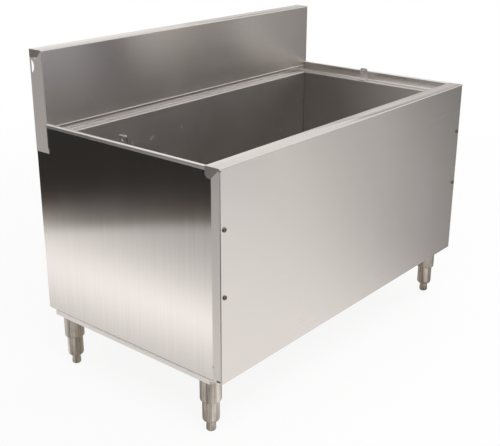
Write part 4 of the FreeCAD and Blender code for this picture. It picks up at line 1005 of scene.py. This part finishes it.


# Floor card, which paints reflections of the floor for the metal: where each zone starts and is full, in
# metres or as a slant, and the greys of its bands

LEFT_ZONE = (0.56, 0.66)
FRONT_ZONE = (1.5, 3.2)
RIGHT_ZONE = (-0.1, 0.9)
RIGHT_SLANT = (0.85, 2.4)
RIGHT_SHARE = 0.82
UNDER_ACROSS = (0.57, 0.62)
UNDER_DEPTH = (0.20, 0.33)
VIEWER_DISTANCE = (0.75, 1.05)
VIEWER_SPREAD = (0.60, 0.85)
COOL_SLANT = (0.845, 0.870)
COOL_DISTANCE = (1.5, 2.0)
PAPER_EDGE = 1.565
PAPER_FADE = 0.07
PAPER_TURN = math.radians(47.0)
PAPER_BEND = 0.16
PAPER_BEND_RUN = (0.95, 1.45)
DUSK_REACH = 0.30
FRONT_START = 0.70
FRONT_WIDTH = 0.75
FRONT_STOPS = (
    (0.16, 0.66),
    (0.20, 1.00),
    (0.27, 1.00),
    (0.29, 0.08),
    (0.44, 0.16),
    (0.59, 0.80),
    (0.62, 0.08),
    (0.78, 0.45),
)
# The strip glows above white: a painted pool of light, seen only in the metal
STRIP_LEVEL = 1.38
STRIP_START = 0.60
STRIP_WIDTH = 1.0
STRIP_STOPS = (
    (0.00, 0.49),
    (0.11, 0.53),
    (0.23, 0.68),
    (0.37, 0.96),
    (0.48, 0.70),
    (0.60, 0.53),
    (0.75, 0.40),
    (1.00, 0.33),
)


def ahead(across, depth, angle):
    """How far a point of the floor lies in a direction."""
    return across * math.cos(angle) + depth * math.sin(angle)


def aside(across, depth, angle):
    """How far a point of the floor lies to the left of a direction."""
    return depth * math.cos(angle) - across * math.sin(angle)


def mirrored_slant(eye, face_depth, across, depth):
    """Metres across for each metre of depth, from the eye's mirror image in an upright face."""
    return (across - eye[ACROSS]) / (2.0 * face_depth - eye[DEPTH] - depth)


def viewer_shade(heading, across, depth):
    """1 on the floor towards the viewer, where shade is painted as if the viewer kept the light off it."""
    toward_eye = -ahead(across, depth, heading)
    spread = aside(across, depth, heading).absolute() / toward_eye
    return toward_eye.ramp(*VIEWER_DISTANCE) * spread.fall(*VIEWER_SPREAD)


def make_painted_floor_reflection(stage):
    """Painted reflections of the floor for the metal: a painted lit strip of paper, a painted shadow of the
    bath, painted shade towards the viewer and darkness past them.
    """
    material, place = new_finish("floor_card")
    across = axis_of(place, ACROSS)
    depth = axis_of(place, DEPTH)
    apron_slant = mirrored_slant(stage.eye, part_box("front_apron")[0][DEPTH], across, depth)
    splash_slant = mirrored_slant(stage.eye, splash_front(), across, depth)
    left = (-across).ramp(*LEFT_ZONE)
    front = (-depth).ramp(*FRONT_ZONE)
    # The right zone and the bands below are set by mirror images in the apron and the backsplash: painted
    # reflections on those faces
    right = apron_slant.ramp(*RIGHT_SLANT) * across.ramp(*RIGHT_ZONE)
    # A dark patch under the bath: painted shadow of the bath, seen only in the metal
    under = across.absolute().fall(*UNDER_ACROSS) * depth.absolute().fall(*UNDER_DEPTH)
    shaded = viewer_shade(stage.heading, across, depth)
    cool = splash_slant.fall(*COOL_SLANT) * (-depth).ramp(*COOL_DISTANCE)
    front_bands = grey_bands((splash_slant - FRONT_START) / FRONT_WIDTH, FRONT_STOPS)
    strip = grey_bands((-across - STRIP_START) / STRIP_WIDTH, STRIP_STOPS)
    sideways = aside(across, depth, PAPER_TURN) - depth.ramp(*PAPER_BEND_RUN) * PAPER_BEND
    lit_left = left * (1.0 - shaded)
    on_paper = sideways.fall(PAPER_EDGE - PAPER_FADE, PAPER_EDGE + PAPER_FADE) * lit_left
    dusk = sideways.fall(PAPER_EDGE, PAPER_EDGE + DUSK_REACH) * lit_left
    past_paper = mixed(dusk, mixed(cool, DARK_TINT, FRONT_COOL_TINT), DUSK_TINT)
    tint = mixed(under, mixed(on_paper, past_paper, strip), SHADE_TINT)
    shown = (left + front * front_bands + right * RIGHT_SHARE + under + shaded).clamped()
    close_finish(material, card_shader(shown, tint, STRIP_LEVEL))
    only_in_metal(stage_sheet("floor_card", level_square(ROOM_REACH, CARD_HEIGHT), material))


# Wall cards, painting reflections of a room for the metal: where each part starts and is full, in metres

LOW_WALL = (0.7, 3.0)
HIGH_WALL = (7.0, 10.0)
GLOW_TINT = (1.0, 0.95, 0.90)
COOL_TINT = (0.30, 0.31, 0.36)
WARM_TINT = (0.46, 0.43, 0.41)
FRONT_STAND_RISE = (7.45, 7.65)
FRONT_STAND_FALL = (8.2, 8.4)
FRONT_WARM_RUN = (8.0, 8.4)
FRONT_VIEWER_END = (-5.0, -3.0)
RIGHT_LIFT_RUN = (-3.0, 2.0)
RIGHT_LIFT = 0.8
RIGHT_SHADE_RISE = (-4.0, 1.0)
RIGHT_SHADE_FALL = (3.2, 6.2)
RIGHT_SHADE_TOP = (4.5, 7.0)
RIGHT_SHADE = 0.7
RIGHT_STAND_RISE = (-8.6, -7.6)
RIGHT_STAND_FALL = (-7.5, -7.2)
RIGHT_STAND_TOP = (4.0, 7.0)
RIGHT_DARK_RUN = (-6.0, -5.0)
LEFT_FRONT_END = (-5.5, -3.5)
LEFT_REAR_END = (6.1, 6.6)
LEFT_REAR_SHADE = 0.8


def front_wall_finish():
    """Painted reflection of a dim wall behind the viewer: cool at the left, a tall dark stand and a warmer
    end.
    """
    material, place = new_finish("front_wall_card")
    across = axis_of(place, ACROSS)
    height = axis_of(place, UP)
    low = height.fall(*LOW_WALL)
    high = height.fall(*HIGH_WALL)
    tall = across.ramp(*FRONT_STAND_RISE) * across.fall(*FRONT_STAND_FALL) + across.fall(*FRONT_VIEWER_END)
    tint = mixed(tall, mixed(across.ramp(*FRONT_WARM_RUN), COOL_TINT, WARM_TINT), DARK_TINT)
    return close_finish(material, card_shader(low + (high - low) * tall, tint))


def right_wall_finish():
    """Painted reflection of a dark wall at the right, with a painted soft shade towards the rear and a tall
    stand in front.
    """
    material, place = new_finish("right_wall_card")
    depth = axis_of(place, DEPTH)
    height = axis_of(place, UP)
    low = (height - depth.ramp(*RIGHT_LIFT_RUN) * RIGHT_LIFT).fall(*LOW_WALL)
    shade = depth.ramp(*RIGHT_SHADE_RISE) * depth.fall(*RIGHT_SHADE_FALL) * height.fall(*RIGHT_SHADE_TOP)
    stand = depth.ramp(*RIGHT_STAND_RISE) * depth.fall(*RIGHT_STAND_FALL)
    tall = shade * RIGHT_SHADE + stand * height.fall(*RIGHT_STAND_TOP)
    tint = mixed(stand + depth.ramp(*RIGHT_DARK_RUN), WARM_TINT, DARK_TINT)
    return close_finish(material, card_shader((low + tall - low * tall).clamped(), tint))


def left_wall_finish():
    """Painted reflection of a lit wall at the left, dark at both ends."""
    material, place = new_finish("left_wall_card")
    depth = axis_of(place, DEPTH)
    low = axis_of(place, UP).fall(*LOW_WALL)
    unlit = depth.fall(*LEFT_FRONT_END) + depth.ramp(*LEFT_REAR_END) * LEFT_REAR_SHADE
    tint = mixed(unlit, GLOW_TINT, DARK_TINT)
    return close_finish(material, card_shader(unlit + low * (1.0 - unlit), tint))


def make_wall_reflection_cards():
    """Cards that paint reflections of walls far round the studio, which only the metal sees."""
    reach = ROOM_REACH
    top = HIGH_WALL[1]
    walls = (
        ("left", (-reach, -reach), (-reach, reach), left_wall_finish),
        ("front", (-reach, -reach), (reach, -reach), front_wall_finish),
        ("right", (reach, -reach), (reach, reach), right_wall_finish),
    )
    for name, start, end, finish in walls:
        corners = [(*start, 0.0), (*end, 0.0), (*end, top), (*start, top)]
        only_in_metal(stage_sheet(f"wall_card_{name}", corners, finish()))


# Light and camera

SENSOR_WIDTH = 36.0
LAMP_SIZE = 3.6
LAMP_AIM = (0.0, 0.0, 0.4)
KEY_PLACE = (-1.6, -2.4, 3.2)
FILL_PLACE = (2.8, -0.6, 3.0)


def make_sky(stage):
    """White surroundings that light the bath at a plain level."""
    world = bpy.data.worlds.new("studio")
    world.use_nodes = True
    world.node_tree.nodes.clear()
    wire = Wire(world.node_tree)
    level = seen_directly(wire) * (1.0 - stage.sky_level) + stage.sky_level
    light = wire.node("ShaderNodeBackground", {}, {"Color": opaque(WHITE), "Strength": level})
    wire.node("ShaderNodeOutputWorld", {}, {"Surface": light})
    bpy.context.scene.world = world


def make_lamp(name, power, place):
    """A large soft lamp that metal doesn't mirror."""
    data = bpy.data.lights.new(name, "AREA")
    data.energy = power
    data.size = LAMP_SIZE
    lamp = bpy.data.objects.new(name, data)
    lamp.location = place
    lamp.rotation_mode = "QUATERNION"
    lamp.rotation_quaternion = (Vector(LAMP_AIM) - Vector(place)).to_track_quat("-Z", "Y")
    lamp.visible_glossy = False
    bpy.context.scene.collection.objects.link(lamp)


def make_camera(stage):
    """The camera where the photograph was taken from."""
    data = bpy.data.cameras.new("camera")
    data.sensor_width = SENSOR_WIDTH
    data.lens = stage.focal_pixels / PHOTO_WIDTH * SENSOR_WIDTH
    data.shift_x = (PHOTO_WIDTH / 2 - stage.axis_pixel[0]) / PHOTO_WIDTH
    data.shift_y = (stage.axis_pixel[1] - PHOTO_HEIGHT / 2) / PHOTO_WIDTH
    camera = bpy.data.objects.new("camera", data)
    camera.location = stage.eye
    level = math.cos(stage.dip)
    view = Vector((level * math.cos(stage.heading), level * math.sin(stage.heading), -math.sin(stage.dip)))
    camera.rotation_mode = "QUATERNION"
    camera.rotation_quaternion = view.to_track_quat("-Z", "Y")
    bpy.context.scene.collection.objects.link(camera)
    bpy.context.scene.camera = camera


class BATH_OT_stage(Operator):
    """Lays the floor, hangs the lamps and sets up the camera"""

    bl_idname = "beer_bath.stage"
    bl_label = "Stage"

    def execute(self, context):
        stage = context.scene.beer_bath.stage
        make_floor(stage)
        make_painted_floor_reflection(stage)
        make_wall_reflection_cards()
        make_sky(stage)
        make_lamp("key_lamp", stage.key_power, KEY_PLACE)
        make_lamp("fill_lamp", stage.fill_power, FILL_PLACE)
        make_camera(stage)
        context.scene.view_settings.view_transform = "Standard"
        return {"FINISHED"}


PIECE_OPERATORS = (
    BATH_OT_cabinet,
    BATH_OT_tub,
    BATH_OT_legs,
    BATH_OT_welds,
    BATH_OT_fasteners,
    BATH_OT_drain,
    BATH_OT_insulation,
    BATH_OT_stage,
)


class BATH_PT_panel(Panel):
    """Lists the bath's settings and operators"""

    bl_idname = "BATH_PT_panel"
    bl_label = "Underbar beer bath"
    bl_space_type = "VIEW_3D"
    bl_region_type = "UI"
    bl_category = "Beer bath"

    def draw(self, context):
        settings = context.scene.beer_bath
        for group in (settings.finish, settings.stage):
            box = self.layout.box()
            for name in group.__annotations__:
                box.prop(group, name)
        for operator in PIECE_OPERATORS:
            self.layout.operator(operator.bl_idname)


CLASSES = (BathFinish, BathStage, BathSettings, *PIECE_OPERATORS, BATH_PT_panel)


def register():
    """Makes the settings, the operators and the panel known."""
    for made in CLASSES:
        bpy.utils.register_class(made)
    bpy.types.Scene.beer_bath = PointerProperty(type=BathSettings)


def unregister():
    """Takes them away again."""
    del bpy.types.Scene.beer_bath
    for made in reversed(CLASSES):
        bpy.utils.unregister_class(made)


def main():
    """Dresses the bath and sets the stage."""
    register()
    bpy.ops.beer_bath.cabinet()
    bpy.ops.beer_bath.tub()
    bpy.ops.beer_bath.legs()
    bpy.ops.beer_bath.welds()
    bpy.ops.beer_bath.fasteners()
    bpy.ops.beer_bath.drain()
    bpy.ops.beer_bath.insulation()
    bpy.ops.beer_bath.stage()


if __name__ == "__main__":
    main()
